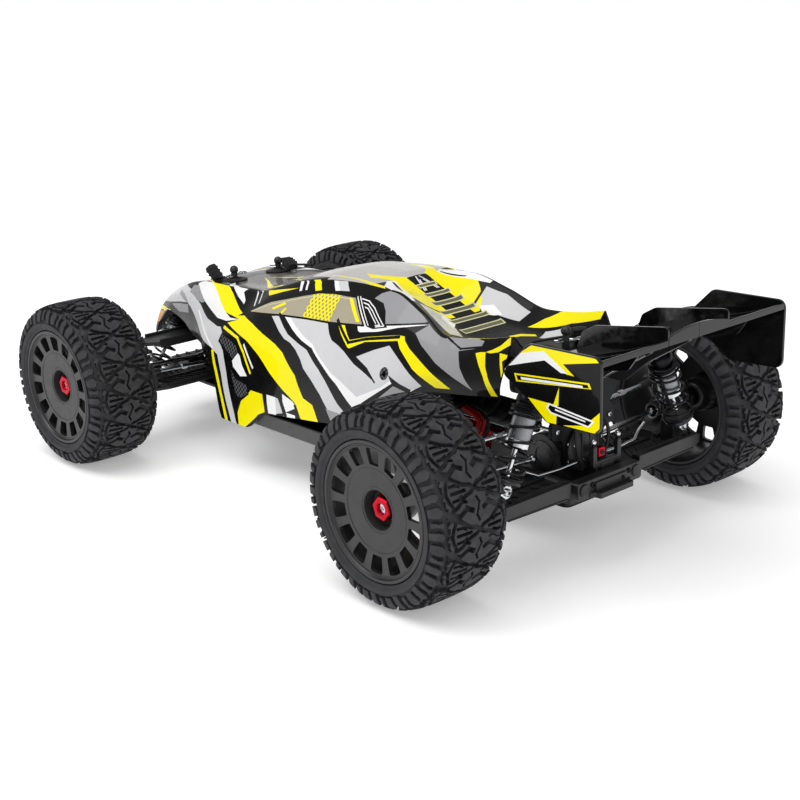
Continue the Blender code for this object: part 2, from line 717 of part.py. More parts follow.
def rear_wing(chassis):
    side_plate = [
        (257, 163), (260, 169), (281, 189.5), (342, 191), (346, 187), (346, 142), (342, 138),
        (298, 136), (279, 150),
    ]
    plane = [(262, 164.5), (300, 170), (345, 184.5), (345, 187), (300, 172.5), (262, 167)]
    solids = [plate(plane, "X", -103.5, 103.5)]
    for side in (1, -1):
        solids.append(plate(side_plate, "X", side * 102.5, side * 105))
    raised = [(266, 163), (300, 168.5), (345, 183.5), (345, 195), (300, 179), (266, 169)]
    solids.append(plate(raised, "X", -34, 34))
    for side in (1, -1):
        strut = [(240.9 + GAP, 128), (262, 128), (322, 172), (322, 180), (270, 168), (240.9 + GAP, 148)]
        solids.append(plate(strut, "X", side * 20, side * 24))
    node("rear_wing", chassis, "gloss plastic", solids)


def electronics(chassis):
    low = CHASSIS_TOP + GAP
    node("battery_pack", chassis, "gloss plastic", [box((-56, -104, low), (-10, 34, low + 38))])
    servo = [
        box((-50, -160, low), (-8, -120, low + 36)),
        rod((-29, -150, low + 34), (-29, -150, low + 41), 4),
    ]
    node("steering_servo", chassis, "black plastic", servo)
    radio = [box((8, -160, low), (50, -112, low + 34)), box((12, -156, low + 32), (46, -116, low + 37))]
    node("radio_box", chassis, "black plastic", radio)
    can = rod((MOTOR_X, 80, MOTOR_Z), (MOTOR_X, 152, MOTOR_Z), MOTOR_RADIUS - 0.2, 16)
    boss = rod((MOTOR_X, 77, MOTOR_Z), (MOTOR_X, 82, MOTOR_Z), 7)
    node("motor", chassis, "black metal", [can, boss])


def drive_line(chassis):
    diff = body_empty("center_differential_pivot", (0, GEAR_Y[0], DRIVE_LINE_Z), chassis)
    solids = [
        rod((0, 42, DRIVE_LINE_Z), (0, GEAR_Y[0] + 1, DRIVE_LINE_Z), 15, 14),
        rod((0, -197, DRIVE_LINE_Z), (0, 197, DRIVE_LINE_Z), 3.5),
        rod((0, 66, DRIVE_LINE_Z), (0, 75, DRIVE_LINE_Z), 8, 12),
        gear(0, DRIVE_LINE_Z, GEAR_Y, SPUR_TEETH, 0),
    ]
    node("center_differential", diff, "steel", solids)
    pinion = body_empty("pinion_gear_pivot", (MOTOR_X, GEAR_Y[0], MOTOR_Z), chassis)
    # The pinion has a gap where the spur gear has a tooth, on the line between the centres
    to_motor = atan2(MOTOR_Z - DRIVE_LINE_Z, MOTOR_X)
    spur_place = to_motor * SPUR_TEETH / (2 * pi)
    pinion_place = (to_motor + pi) * PINION_TEETH / (2 * pi)
    phase = pinion_place + 0.5 + (spur_place - round(spur_place))
    solids = [
        gear(MOTOR_X, MOTOR_Z, (GEAR_Y[0] - 1, GEAR_Y[1] + 1), PINION_TEETH, phase),
        rod((MOTOR_X, 65, MOTOR_Z), (MOTOR_X, 76.5, MOTOR_Z), 4.2),
    ]
    node("pinion_gear", pinion, "steel", solids)


def steering(chassis):
    rack = body_empty("steering_rack_pivot", (0, TIE_ROD_Y, SHAFT_PIVOT[1] + 10), chassis)
    y = (TIE_ROD_Y - 3, TIE_ROD_Y + 3)
    inner_z = SHAFT_PIVOT[1] + 1
    solids = [box((-28.5, y[0], 79), (28.5, y[1], 84))]
    for side in (1, -1):
        solids.append(box((side * 22, y[0], inner_z - 3), (side * 28.5, y[1], 83)))
    node("steering_rack", rack, "black plastic", solids)
    for side_name, side in (("left", 1), ("right", -1)):
        start = Vector((side * SHAFT_PIVOT[0], TIE_ROD_Y, inner_z))
        end = start + Vector((side * ARM_SPAN[0], 0, ARM_SPAN[1]))
        tie = body_empty(f"tie_rod_{side_name}_pivot", tuple(start), rack)
        up = Vector((0, 0, 2.5))
        solids = [
            rod(start + (end - start) * 0.03, end - (end - start) * 0.03, 2.2, 8),
            rod(start - up, start + up, 4.4),
            rod(end - up, end + up, 5),
        ]
        node(f"tie_rod_{side_name}", tie, "steel", solids)


# ---------------------------------------------------------------- body shell


def body_shell(body):
    """A loft through the cross sections, closed at the nose and open underneath and behind."""
    bm = bmesh.new()
    rows = []
    for y, half in SHELL_SECTIONS:
        full = [(-x, z) for x, z in reversed(half[1:])] + half
        rows.append([bm.verts.new(Vector((x, y, z)) * MM) for x, z in full])
    for row, after in zip(rows, rows[1:]):
        for i in range(len(row) - 1):
            bm.faces.new((row[i], row[i + 1], after[i + 1], after[i]))
    bm.faces.new(reversed(rows[0]))
    bmesh.ops.recalc_face_normals(bm, faces=bm.faces)
    mesh = bpy.data.meshes.new("body_shell")
    bm.to_mesh(mesh)
    bm.free()
    mesh.transform(Matrix.Translation(-Vector(body["at"]) * MM))
    shell = mesh_object("body_shell", mesh, body["at"], body, parts)
    mesh.materials.append(materials["painted polycarbonate"])
    solidify = shell.modifiers.new("Solidify", "SOLIDIFY")
    solidify.thickness = SHELL_THICKNESS * MM
    solidify.offset = -1
    for side in (1, -1):
        x, y, z = side * FRONT_POST[0], FRONT_POST[1], FRONT_POST[2]
        hole = rod((x, y, z - 30), (x, y, z + 10), POST_RADIUS + 1.6, 12)
        hole.transform(Matrix.Translation(-Vector(body["at"]) * MM))
        cutter = mesh_object(f"body_shell_post_hole_{side}", hole, body["at"], body, cutters)
        cutter.hide_render = True
        cutter.display_type = "WIRE"
        modifier = shell.modifiers.new(cutter.name, "BOOLEAN")
        modifier.operation = "DIFFERENCE"
        modifier.solver = "EXACT"
        modifier.object = cutter


def main():
    global parts, cutters
    clear_scene()
    parts = new_collection("rc_truggy")
    cutters = new_collection("cutters")
    add_material("painted polycarbonate", (0.75, 0.72, 0.1), 0.15)
    add_material("black plastic", (0.02, 0.02, 0.02), 0.5)
    add_material("gloss plastic", (0.01, 0.01, 0.01), 0.2)
    add_material("rim plastic", (0.015, 0.015, 0.015), 0.4)
    add_material("tyre rubber", (0.025, 0.025, 0.025), 0.8)
    add_material("black metal", (0.02, 0.02, 0.022), 0.35, 0.8)
    add_material("anodised aluminium", (0.05, 0.05, 0.055), 0.4, 0.9)
    add_material("steel", (0.55, 0.55, 0.56), 0.3, 1.0)
    add_material("spring steel", (0.03, 0.03, 0.03), 0.35, 0.6)
    car = bpy.data.objects.new("rc_truggy_origin", None)
    parts.objects.link(car)
    car.location = (0, -MIDDLE_Y * MM, 0)
    car["at"] = (0, 0, 0)
    chassis = body_empty("chassis", (0, 0, CHASSIS_BOTTOM), car)
    chassis_plate(chassis)
    bumpers(chassis)
    for end in ("front", "rear"):
        gearbox(end, chassis)
        shock_tower(end, chassis)
        for side_name in ("left", "right"):
            build_corner(end, side_name, chassis)
    rear_wing(chassis)
    electronics(chassis)
    drive_line(chassis)
    steering(chassis)
    body_shell(body_empty("body_shell_lift", (0, 0, REAR_POST[2]), chassis))


main()
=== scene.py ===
"""Looks of the 1:8 long-wheelbase RC truggy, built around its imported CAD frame.

Lengths are in millimetres in the car's own frame: +X is the car's left, the front faces -Y,
y = 0 lies midway between the axles and z = 0 is the ground.
"""

from math import atan2, cos, pi, radians, sin, sqrt

import bmesh
import bpy
import numpy as np
from mathutils import Matrix, Vector
from mathutils.geometry import delaunay_2d_cdt


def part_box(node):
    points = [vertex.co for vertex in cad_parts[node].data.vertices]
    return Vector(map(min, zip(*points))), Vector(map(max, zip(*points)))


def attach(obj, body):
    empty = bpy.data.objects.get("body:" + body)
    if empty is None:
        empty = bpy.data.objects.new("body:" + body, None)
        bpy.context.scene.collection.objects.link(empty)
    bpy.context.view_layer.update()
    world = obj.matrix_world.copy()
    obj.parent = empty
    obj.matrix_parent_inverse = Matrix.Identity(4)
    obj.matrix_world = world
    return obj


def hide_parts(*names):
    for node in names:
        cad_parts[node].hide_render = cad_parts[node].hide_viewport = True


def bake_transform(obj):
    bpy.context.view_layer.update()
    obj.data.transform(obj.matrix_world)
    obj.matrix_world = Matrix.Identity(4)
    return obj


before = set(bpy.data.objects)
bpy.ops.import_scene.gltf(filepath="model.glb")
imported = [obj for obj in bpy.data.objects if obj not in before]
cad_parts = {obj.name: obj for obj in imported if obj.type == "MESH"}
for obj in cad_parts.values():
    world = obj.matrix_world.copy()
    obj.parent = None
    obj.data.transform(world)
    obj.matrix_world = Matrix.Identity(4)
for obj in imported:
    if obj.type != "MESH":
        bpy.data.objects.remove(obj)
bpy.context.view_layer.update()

MM = 0.001
ENDS = ("front", "rear")
SIDES = {"left": 1, "right": -1}


def axle_centre(end):
    """The middle of a left axle's box, in metres."""
    low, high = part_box(f"{end}_left_axle")
    return (low + high) / 2


AXLE_Z = axle_centre("front").z / MM
HALF_WHEELBASE = (axle_centre("rear").y - axle_centre("front").y) / 2 / MM
ORIGIN_Y = (axle_centre("rear").y + axle_centre("front").y) / 2
AXLE_Y = {"front": -HALF_WHEELBASE, "rear": HALF_WHEELBASE}
TO_WORLD = Matrix.Translation((0, ORIGIN_Y, 0)) @ Matrix.Scale(MM, 4)

# ---------------------------------------------------------------- materials


def rgb(code):
    """A linear colour from an sRGB hex code."""
    channels = [int(code[i : i + 2], 16) / 255 for i in (0, 2, 4)]
    return tuple(c / 12.92 if c <= 0.04045 else ((c + 0.055) / 1.055) ** 2.4 for c in channels)


class Look:
    """A Principled material whose colour, roughness and bump vary over the object's surface."""

    def __init__(self, name, colour, roughness, metallic=0.0, coat=0.0, specular=0.5):
        self.made = bpy.data.materials.new(name)
        self.made.use_nodes = True
        self.nodes = self.made.node_tree.nodes
        self.links = self.made.node_tree.links
        self.shader = self.nodes["Principled BSDF"]
        self.place = self.add("ShaderNodeTexCoord").outputs["Object"]
        self.set(self.shader, "Base Color", (*colour, 1))
        self.set(self.shader, "Roughness", roughness)
        self.set(self.shader, "Metallic", metallic)
        self.set(self.shader, "Specular IOR Level", specular)
        self.set(self.shader, "Coat Weight", coat)
        self.set(self.shader, "Coat Roughness", 0.04)
        self.made.diffuse_color = (*colour, 1)
        self.colour = colour
        self.roughness = roughness

    def add(self, kind, **settings):
        node = self.nodes.new(kind)
        for key, value in settings.items():
            setattr(node, key, value)
        return node

    def set(self, node, socket, value):
        node.inputs[socket].default_value = value

    def noise(self, size, detail=3.0, stretch=(1, 1, 1)):
        """Noise whose blobs are about size mm across, from 0 to 1."""
        mapping = self.add("ShaderNodeMapping")
        self.links.new(self.place, mapping.inputs["Vector"])
        self.set(mapping, "Scale", [1 / (size * MM) / s for s in stretch])
        node = self.add("ShaderNodeTexNoise")
        self.set(node, "Scale", 1.0)
        self.set(node, "Detail", detail)
        self.links.new(mapping.outputs["Vector"], node.inputs["Vector"])
        return node.outputs["Fac"]

    def spread(self, value, low, high, start=0.3, end=0.7):
        node = self.add("ShaderNodeMapRange")
        self.links.new(value, node.inputs["Value"])
        for socket, number in zip(("From Min", "From Max", "To Min", "To Max"), (start, end, low, high)):
            self.set(node, socket, number)
        return node.outputs["Result"]

    def mix(self, factor, first, second):
        node = self.add("ShaderNodeMix", data_type="RGBA")
        self.links.new(factor, node.inputs["Factor"])
        for socket, value in zip((6, 7), (first, second)):
            if isinstance(value, tuple):
                node.inputs[socket].default_value = (*value, 1)
            else:
                self.links.new(value, node.inputs[socket])
        return node.outputs[2]

    def vary_colour(self, size, amount, other=None):
        """Lets the base colour wander towards another colour by a share of amount."""
        other = other or tuple(min(1, c * 1.6 + 0.01) for c in self.colour)
        factor = self.spread(self.noise(size), 0, amount)
        result = self.mix(factor, self.colour, other)
        self.links.new(result, self.shader.inputs["Base Color"])
        return self

    def vary_roughness(self, size, amount, stretch=(1, 1, 1)):
        low, high = self.roughness - amount, self.roughness + amount
        result = self.spread(self.noise(size, stretch=stretch), max(0.02, low), min(1, high))
        self.links.new(result, self.shader.inputs["Roughness"])
        return self

    def bump(self, size, height, detail=2.0, stretch=(1, 1, 1), value=None):
        """Bumps of about size mm across and height mm high."""
        node = self.add("ShaderNodeBump")
        self.set(node, "Distance", height * MM)
        self.set(node, "Strength", 1.0)
        self.links.new(value or self.noise(size, detail, stretch), node.inputs["Height"])
        self.links.new(node.outputs["Normal"], self.shader.inputs["Normal"])
        return self

    def wave(self, axis, pitch):
        """A sine along one axis of the car, with that pitch in mm, from -1 to 1."""
        split = self.add("ShaderNodeSeparateXYZ")
        self.links.new(self.place, split.inputs[0])
        scale = self.add("ShaderNodeMath", operation="MULTIPLY")
        self.links.new(split.outputs[axis], scale.inputs[0])
        scale.inputs[1].default_value = 2 * pi / (pitch * MM)
        wave = self.add("ShaderNodeMath", operation="SINE")
        self.links.new(scale.outputs[0], wave.inputs[0])
        return wave.outputs[0]

    def dots(self, axes, pitch, threshold):
        """1 in round dots on a grid across two axes of the car, and 0 between them."""
        product = self.add("ShaderNodeMath", operation="MULTIPLY")
        for i, axis in enumerate(axes):
            self.links.new(self.wave(axis, pitch), product.inputs[i])
        above = self.add("ShaderNodeMath", operation="GREATER_THAN")
        self.links.new(product.outputs[0], above.inputs[0])
        above.inputs[1].default_value = threshold
        return above.outputs[0]


def paint(name, code):
    """Glossy paint under clear polycarbonate, with a faint orange peel and light dust."""
    look = Look(name, rgb(code), 0.3, coat=0.32, specular=0.08)
    look.set(look.shader, "Coat Roughness", 0.045)
    look.vary_colour(26, 0.35, tuple(c * 0.86 + 0.004 for c in look.colour))
    look.vary_roughness(9, 0.06)
    look.bump(7, 0.028)
    return look.made


def plastic(name, code, roughness, grain=0.35, depth=0.012, specular=0.5):
    look = Look(name, rgb(code), roughness, specular=specular)
    look.vary_colour(14, 0.5)
    look.vary_roughness(5, 0.07)
    look.bump(grain, depth, detail=4)
    return look.made


def metal(name, code, roughness, stretch=(1, 1, 1), depth=0.004, metallic=1.0):
    look = Look(name, rgb(code), roughness, metallic=metallic)
    look.vary_colour(8, 0.4, tuple(c * 0.8 for c in look.colour))
    look.vary_roughness(2.5, 0.06, stretch)
    look.bump(0.3, depth, stretch=stretch)
    return look.made


def rubber(name, code, roughness, dust):
    look = Look(name, rgb(code), roughness, specular=0.35)
    look.vary_colour(6, 0.55, rgb(dust))
    look.vary_roughness(3, 0.08)
    look.bump(0.5, 0.03, detail=5)
    return look.made


def dotted_paint(name, code, dot_code, axes, pitch, threshold):
    look = Look(name, rgb(code), 0.3, coat=0.32, specular=0.08)
    colour = look.mix(look.dots(axes, pitch, threshold), look.colour, rgb(dot_code))
    look.links.new(colour, look.shader.inputs["Base Color"])
    look.vary_roughness(9, 0.05)
    look.bump(7, 0.028)
    return look.made


def carbon_plate(name):
    """Hard-anodised plate with a fine brushed grain along the car."""
    look = Look(name, rgb("17181A"), 0.38, metallic=0.85)
    look.vary_colour(20, 0.4)
    look.vary_roughness(1.2, 0.08, (1, 18, 1))
    look.bump(0.5, 0.01, stretch=(1, 18, 1))
    return look.made


LOOKS = {
    "black": paint("paint_black", "070708"),
    "mid": paint("paint_mid_grey", "98989B"),
    "light": paint("paint_light_grey", "CFCFD1"),
    "white": paint("paint_white", "F2F2F2"),
    "yellow": paint("paint_yellow", "FAEC00"),
    "amber": paint("paint_amber", "E2920A"),
    "smoke": paint("paint_smoke", "6B6763"),
    "roof": paint("paint_roof_grey", "BDBBB7"),
    "olive": paint("paint_olive", "67664F"),
    "cream": paint("paint_cream", "D9D6A8"),
    "tan": paint("paint_window", "A9A18C"),
    "dots": dotted_paint("paint_dotted_yellow", "F0E22C", "9A9260", (1, 2), 5.2, 0.3),
    "mesh": dotted_paint("vent_mesh", "5A5B5E", "0C0C0D", (1, 2), 4.4, 0.02),
    "shell_inside": plastic("shell_inside", "151516", 0.5),
    "arm": plastic("moulded_nylon", "131315", 0.46, grain=0.5, depth=0.02),
    "arm_soft": plastic("moulded_nylon_satin", "18181A", 0.36, grain=0.4, depth=0.012),
    "wing": plastic("gloss_nylon", "060607", 0.12, grain=3.0, depth=0.01),
    "rim": plastic("satin_rim", "161618", 0.36, grain=0.4, depth=0.008),
    "rubber": rubber("tyre_rubber", "26262A", 0.66, "3A3A3D"),
    "tread": rubber("tread_rubber", "2A2A2D", 0.74, "454548"),
    "tab_rubber": rubber("strap_rubber", "151517", 0.55, "242426"),
    "plate": carbon_plate("anodised_plate"),
    "grey_metal": metal("anodised_grey", "8E9094", 0.27),
    "dark_metal": metal("anodised_dark", "232427", 0.33),
    "red": metal("anodised_red", "C4112B", 0.26),
    "steel": metal("bright_steel", "C9CBCE", 0.2, (1, 8, 1)),
    "chrome": metal("polished_steel", "E6E7E9", 0.1),
    "wire": metal("spring_black", "1A1B1E", 0.3, metallic=0.6),
    # Painted shade: a near-black stand-in for the shade inside holes, sockets, bores and gaps, not a black
    # part
    "shadow": plastic("painted_recess_shade", "050506", 0.7),
    "case": plastic("battery_case_plastic", "101113", 0.42),
    "label": plastic("plain_label_grey", "8E9094", 0.4),
    "wire_red": rubber("silicone_red", "A81414", 0.45, "7E0E0E"),
    "wire_black": rubber("silicone_black", "141416", 0.45, "252528"),
}

# ---------------------------------------------------------------- mesh kit

SMOOTH_ANGLE = radians(38)


class Piece:
    """One mesh in the making, in mm in the car's frame."""

    def __init__(self, name):
        self.name = name
        self.bm = bmesh.new()
        self.looks = []

    def look_index(self, look):
        if look not in self.looks:
            self.looks.append(look)
        return self.looks.index(look)

    def take(self, part, look, bevel=0.0, segments=2):
        """Adds a small bmesh, with its sharp edges bevelled, and frees it."""
        bmesh.ops.recalc_face_normals(part, faces=part.faces)
        if bevel:
            sharp = [e for e in part.edges if e.is_manifold and e.calc_face_angle() > radians(30)]
            bmesh.ops.bevel(
                part, geom=sharp, offset=bevel, segments=segments, affect="EDGES",
                profile=0.5, clamp_overlap=True,
            )
        self.take_oriented(part, look)

    def box(self, low, high, look, bevel=0.8, turn=None):
        """A block between two corners; turn is a Matrix about its centre."""
        low, high = Vector(low), Vector(high)
        part = bmesh.new()
        bmesh.ops.create_cube(part, size=1)
        size = [abs(high[i] - low[i]) for i in range(3)]
        bmesh.ops.scale(part, vec=size, verts=part.verts)
        if turn:
            bmesh.ops.transform(part, matrix=turn, verts=part.verts)
        bmesh.ops.translate(part, vec=(low + high) / 2, verts=part.verts)
        self.take(part, look, min(bevel, min(size) * 0.35))

    def rod(self, start, end, radius, look, sides=20, bevel=0.3, end_radius=None):
        start, end = Vector(start), Vector(end)
        part = bmesh.new()
        tip = radius if end_radius is None else end_radius
        bmesh.ops.create_cone(
            part, cap_ends=True, segments=sides, radius1=radius, radius2=tip,
            depth=(end - start).length,
        )
        turn = Vector((0, 0, 1)).rotation_difference(end - start).to_matrix().to_4x4()
        bmesh.ops.transform(part, matrix=turn, verts=part.verts)
        bmesh.ops.translate(part, vec=(start + end) / 2, verts=part.verts)
        rim = [e for e in part.edges if e.calc_face_angle(0) > radians(40)] if sides > 6 else []
        self.take_rod(part, look, min(bevel, radius * 0.4), rim)

    def take_rod(self, part, look, bevel, rim):
        if rim and bevel > 0.05:
            bmesh.ops.bevel(
                part, geom=rim, offset=bevel, segments=2, affect="EDGES", profile=0.5,
                clamp_overlap=True,
            )
        self.take(part, look)

    def lathe(self, profile, base, axis, look, sides=40, start_angle=0.0):
        """Turns (distance along the axis, radius) points about an axis through base."""
        base, axis = Vector(base), Vector(axis).normalized()
        turn = Vector((0, 0, 1)).rotation_difference(axis).to_matrix().to_4x4()
        part = bmesh.new()
        rings = []
        for along, radius in profile:
            if radius < 1e-6:
                rings.append([part.verts.new((0, 0, along))])
                continue
            steps = [start_angle + 2 * pi * i / sides for i in range(sides)]
            rings.append([part.verts.new((radius * cos(a), radius * sin(a), along)) for a in steps])
        for one, two in zip(rings, rings[1:]):
            if len(one) == 1 and len(two) == 1:
                continue
            for i in range(sides):
                j = (i + 1) % sides
                if len(one) == 1:
                    part.faces.new((one[0], two[j], two[i]))
                elif len(two) == 1:
                    part.faces.new((one[i], one[j], two[0]))
                else:
                    part.faces.new((one[i], one[j], two[j], two[i]))
        bmesh.ops.transform(part, matrix=Matrix.Translation(base) @ turn, verts=part.verts)
        self.take(part, look)

    def prism(self, outline, axis, low, high, look, bevel=0.6):
        """Extrudes an outline along an axis; the outline is in the two other axes, in order."""
        part = bmesh.new()

        def point(a, b, along):
            return {"x": (along, a, b), "y": (a, along, b), "z": (a, b, along)}[axis]

        one = [part.verts.new(point(a, b, low)) for a, b in outline]
        two = [part.verts.new(point(a, b, high)) for a, b in outline]
        part.faces.new(one)
        part.faces.new(two)
        for i in range(len(outline)):
            j = (i + 1) % len(outline)
            part.faces.new((one[i], one[j], two[j], two[i]))
        self.take(part, look, bevel)

    def ball(self, centre, radius, look, rows=12, sides=20):
        steps = [pi * i / rows for i in range(rows + 1)]
        profile = [(-radius * cos(a), radius * sin(a)) for a in steps]
        profile[0], profile[-1] = (-radius, 0), (radius, 0)
        self.lathe(profile, centre, (0, 0, 1), look, sides)

    def tube(self, points, radius, look, sides=10):
        """A round tube through points, closed at both ends."""
        points = [Vector(p) for p in points]
        part = bmesh.new()
        rings = []
        ahead = (points[1] - points[0]).normalized()
        across = ahead.orthogonal().normalized()
        for i, point in enumerate(points):
            one, two = points[max(i - 1, 0)], points[min(i + 1, len(points) - 1)]
            now = (two - one).normalized()
            across = (ahead.rotation_difference(now) @ across).normalized()
            ahead = now
            other = ahead.cross(across)
            steps = [2 * pi * k / sides for k in range(sides)]
            rings.append([part.verts.new(point + radius * (cos(a) * across + sin(a) * other)) for a in steps])
        for one, two in zip(rings, rings[1:]):
            for i in range(sides):
                j = (i + 1) % sides
                part.faces.new((one[i], one[j], two[j], two[i]))
        part.faces.new(rings[0])
        part.faces.new(rings[-1])
        self.take(part, look)

    def screw(self, centre, direction, radius, look="steel"):
        """A button-head screw; its hexagon socket is a dark hexagon of painted shade."""
        axis = Vector(direction).normalized()
        head = [(-0.2, 0), (-0.2, radius), (radius * 0.35, radius), (radius * 0.6, radius * 0.7),
                (radius * 0.62, radius * 0.45), (radius * 0.2, radius * 0.4), (radius * 0.2, 0)]
        self.lathe(head, centre, axis, look, 18)
        socket = Vector(centre) + axis * radius * 0.2
        # The socket is not cut: a dark hexagon of painted shade sits in the head's hollow
        self.rod(socket, socket + axis * radius * 0.12, radius * 0.4, "shadow", 6, 0)

    def take_oriented(self, part, look):
        """Adds a bmesh as it is, keeping the way its faces point."""
        index = self.look_index(look)
        for face in part.faces:
            face.material_index = index
        mesh = bpy.data.meshes.new("part")
        part.to_mesh(mesh)
        part.free()
        self.bm.from_mesh(mesh)
        bpy.data.meshes.remove(mesh)

    def mirror_x(self):
        """Turns the piece into its mirror image on the other side of the car."""
        bmesh.ops.transform(self.bm, matrix=Matrix.Scale(-1, 4, (1, 0, 0)), verts=self.bm.verts)
        bmesh.ops.reverse_faces(self.bm, faces=self.bm.faces)

    def mesh(self):
        for edge in self.bm.edges:
            edge.smooth = edge.is_manifold and edge.calc_face_angle(0) < SMOOTH_ANGLE
        for face in self.bm.faces:
            face.smooth = True
        mesh = bpy.data.meshes.new(self.name)
        self.bm.transform(TO_WORLD)
        self.bm.to_mesh(mesh)
        self.bm.free()
        for look in self.looks:
            mesh.materials.append(LOOKS[look])
        return mesh

    def finish(self, body, slot, nodes=()):
        """Makes the object, rides it on its body and hides the CAD nodes it stands for."""
        return show(self.name, self.mesh(), body, nodes)


def show(name, mesh, body, nodes=(), weighted=True):
    made = bpy.data.objects.new(name, mesh)
    bpy.context.scene.collection.objects.link(made)
    if weighted:
        modifier = made.modifiers.new("weighted_normals", "WEIGHTED_NORMAL")
        modifier.keep_sharp = True
    if body:
        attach(made, body)
    if nodes:
        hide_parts(*nodes)
    return made


def both_sides(name, build, body, slot, nodes):
    """Builds a piece for the left and its mirror image for the right."""
    for side_name in SIDES:
        piece = Piece(name.replace("SIDE", side_name))
        build(piece)
        if side_name == "right":
            piece.mirror_x()
        named = [n.replace("SIDE", side_name) for n in nodes]
        piece.finish(body.replace("SIDE", side_name), slot, named)


def inside(points, outline):
    """Which of the points, an array of pairs, lie inside a closed outline."""
    x, y = points[:, 0], points[:, 1]
    hit = np.zeros(len(points), bool)
    for (x1, y1), (x2, y2) in zip(outline, outline[1:] + outline[:1]):
        if y1 == y2:
            continue
        crosses = (y1 > y) != (y2 > y)
        hit ^= crosses & (x < (x2 - x1) * (y - y1) / (y2 - y1) + x1)
    return hit


def stroke(points, width):
    """A line of that width, as one four-cornered outline for each of its segments."""
    outlines = []
    for (x1, y1), (x2, y2) in zip(points, points[1:]):
        length = sqrt((x2 - x1) ** 2 + (y2 - y1) ** 2)
        ax, ay = (x2 - x1) / length * width / 2, (y2 - y1) / length * width / 2
        outlines.append(
            [(x1 - ax - ay, y1 - ay + ax), (x2 + ax - ay, y2 + ay + ax),
             (x2 + ax + ay, y2 + ay - ax), (x1 - ax + ay, y1 - ay - ax)]
        )
    return outlines


def divided(outline, step):
    """The same closed outline, with points added so that none are further apart than step."""
    result = []
    for (x1, y1), (x2, y2) in zip(outline, outline[1:] + outline[:1]):
        count = max(1, int(sqrt((x2 - x1) ** 2 + (y2 - y1) ** 2) / step + 0.999))
        result += [(x1 + (x2 - x1) * i / count, y1 + (y2 - y1) * i / count) for i in range(count)]
    return result


def sheet(points, faces, axis):
    """A bmesh of the triangles, all facing the same way along an axis, without loose points."""
    part = bmesh.new()
    verts = [part.verts.new(p) for p in points]
    for face in faces:
        made = part.faces.new([verts[i] for i in face])
        made.normal_update()
        if made.normal[axis] < 0:
            made.normal_flip()
    loose = [v for v in part.verts if not v.link_faces]
    bmesh.ops.delete(part, geom=loose, context="VERTS")
    return part


def cut_grid(columns, rows, outlines):
    """Cuts a rectangle, ruled with grid lines, along closed outlines.

    Returns its points and its triangles as arrays.
    """
    points = [Vector((x, y)) for y in rows for x in columns]
    wide, high = len(columns), len(rows)
    edges = [(j * wide + i, j * wide + i + 1) for j in range(high) for i in range(wide - 1)]
    edges += [(j * wide + i, (j + 1) * wide + i) for j in range(high - 1) for i in range(wide)]
    for outline in outlines:
        first = len(points)
        points += [Vector(p) for p in outline]
        count = len(outline)
        edges += [(first + i, first + (i + 1) % count) for i in range(count)]
    made = delaunay_2d_cdt(points, edges, [], 0, 1e-4)
    return np.array([tuple(p) for p in made[0]]), np.array(made[2])

# ---------------------------------------------------------------- the painted shell

# Cross sections: y, then (x, z) from the centre line out to the crest and down to the lower edge
SHELL_SECTIONS = [
    (-286, [(0, 101), (20, 101), (34, 99), (40, 96), (43, 92), (44, 88), (44, 84)]),
    (-274, [(0, 118), (20, 118), (36, 117), (42, 113), (45, 108), (46, 104), (46, 99)]),
    (-240, [(0, 136), (22, 136), (42, 137), (50, 131), (53, 124), (55, 120), (56, 117)]),
    (-205, [(0, 147), (24, 147), (45, 149), (57, 139), (61, 130), (63, 122), (64, 114)]),
    (-175, [(0, 151), (25, 151), (47, 153), (61, 141), (68, 129), (71, 118), (73, 106)]),
    (-150, [(0, 152), (26, 152), (48, 154), (64, 140), (74, 125), (79, 116), (82, 105)]),
    (-126, [(0, 153), (26, 153), (47, 155), (66, 139), (79, 120), (86, 102), (89, 88)]),
    (-110, [(0, 155), (26, 155), (46, 155), (67, 138), (81, 117), (89, 82), (92, 44)]),
    (-75, [(0, 167), (26, 167), (45, 164), (66, 146), (81, 120), (90, 84), (92, 44)]),
    (-45, [(0, 177), (25, 176), (44, 173), (65, 149), (81, 122), (90, 92), (91, 62)]),
    (0, [(0, 186), (24, 185), (43, 181), (64, 155), (81, 126), (89, 95), (90, 68)]),
    (45, [(0, 187), (24, 186), (44, 184), (63, 160), (80, 130), (88, 98), (89, 74)]),
    (80, [(0, 174), (12, 174), (45, 184), (63, 160), (78, 130), (85, 108), (87, 92)]),
    (115, [(0, 160), (21, 160), (50, 175), (64, 156), (76, 134), (80, 122), (81, 110)]),
    (150, [(0, 151), (28, 151), (57, 162), (66, 149), (73, 136), (75, 129), (75, 120)]),
    (185, [(0, 148), (30, 148), (54, 166), (63, 151), (69, 138), (71, 131), (71, 124)]),
    (217, [(0, 147), (30, 147), (52, 173), (60, 156), (66, 142), (68, 135), (68, 128)]),
]
SHELL_WALL = 1.5
SHELL_STEP = 3.0
POST_HOLE = 4.4
FRONT_POST = (26, -170)

# The lamp and the two vents, in (y, z) on the side
LAMP = [(-280, 108), (-262, 112), (-252, 106), (-256, 96), (-270, 92), (-283, 97)]
UPPER_VENT = [(-119, 120), (-104, 117), (-94, 114), (-90, 109), (-97, 101), (-121, 113)]
LOWER_VENT = [(-99, 95), (-89, 86), (-71, 84), (-69, 76), (-79, 69), (-87, 70), (-94, 82)]

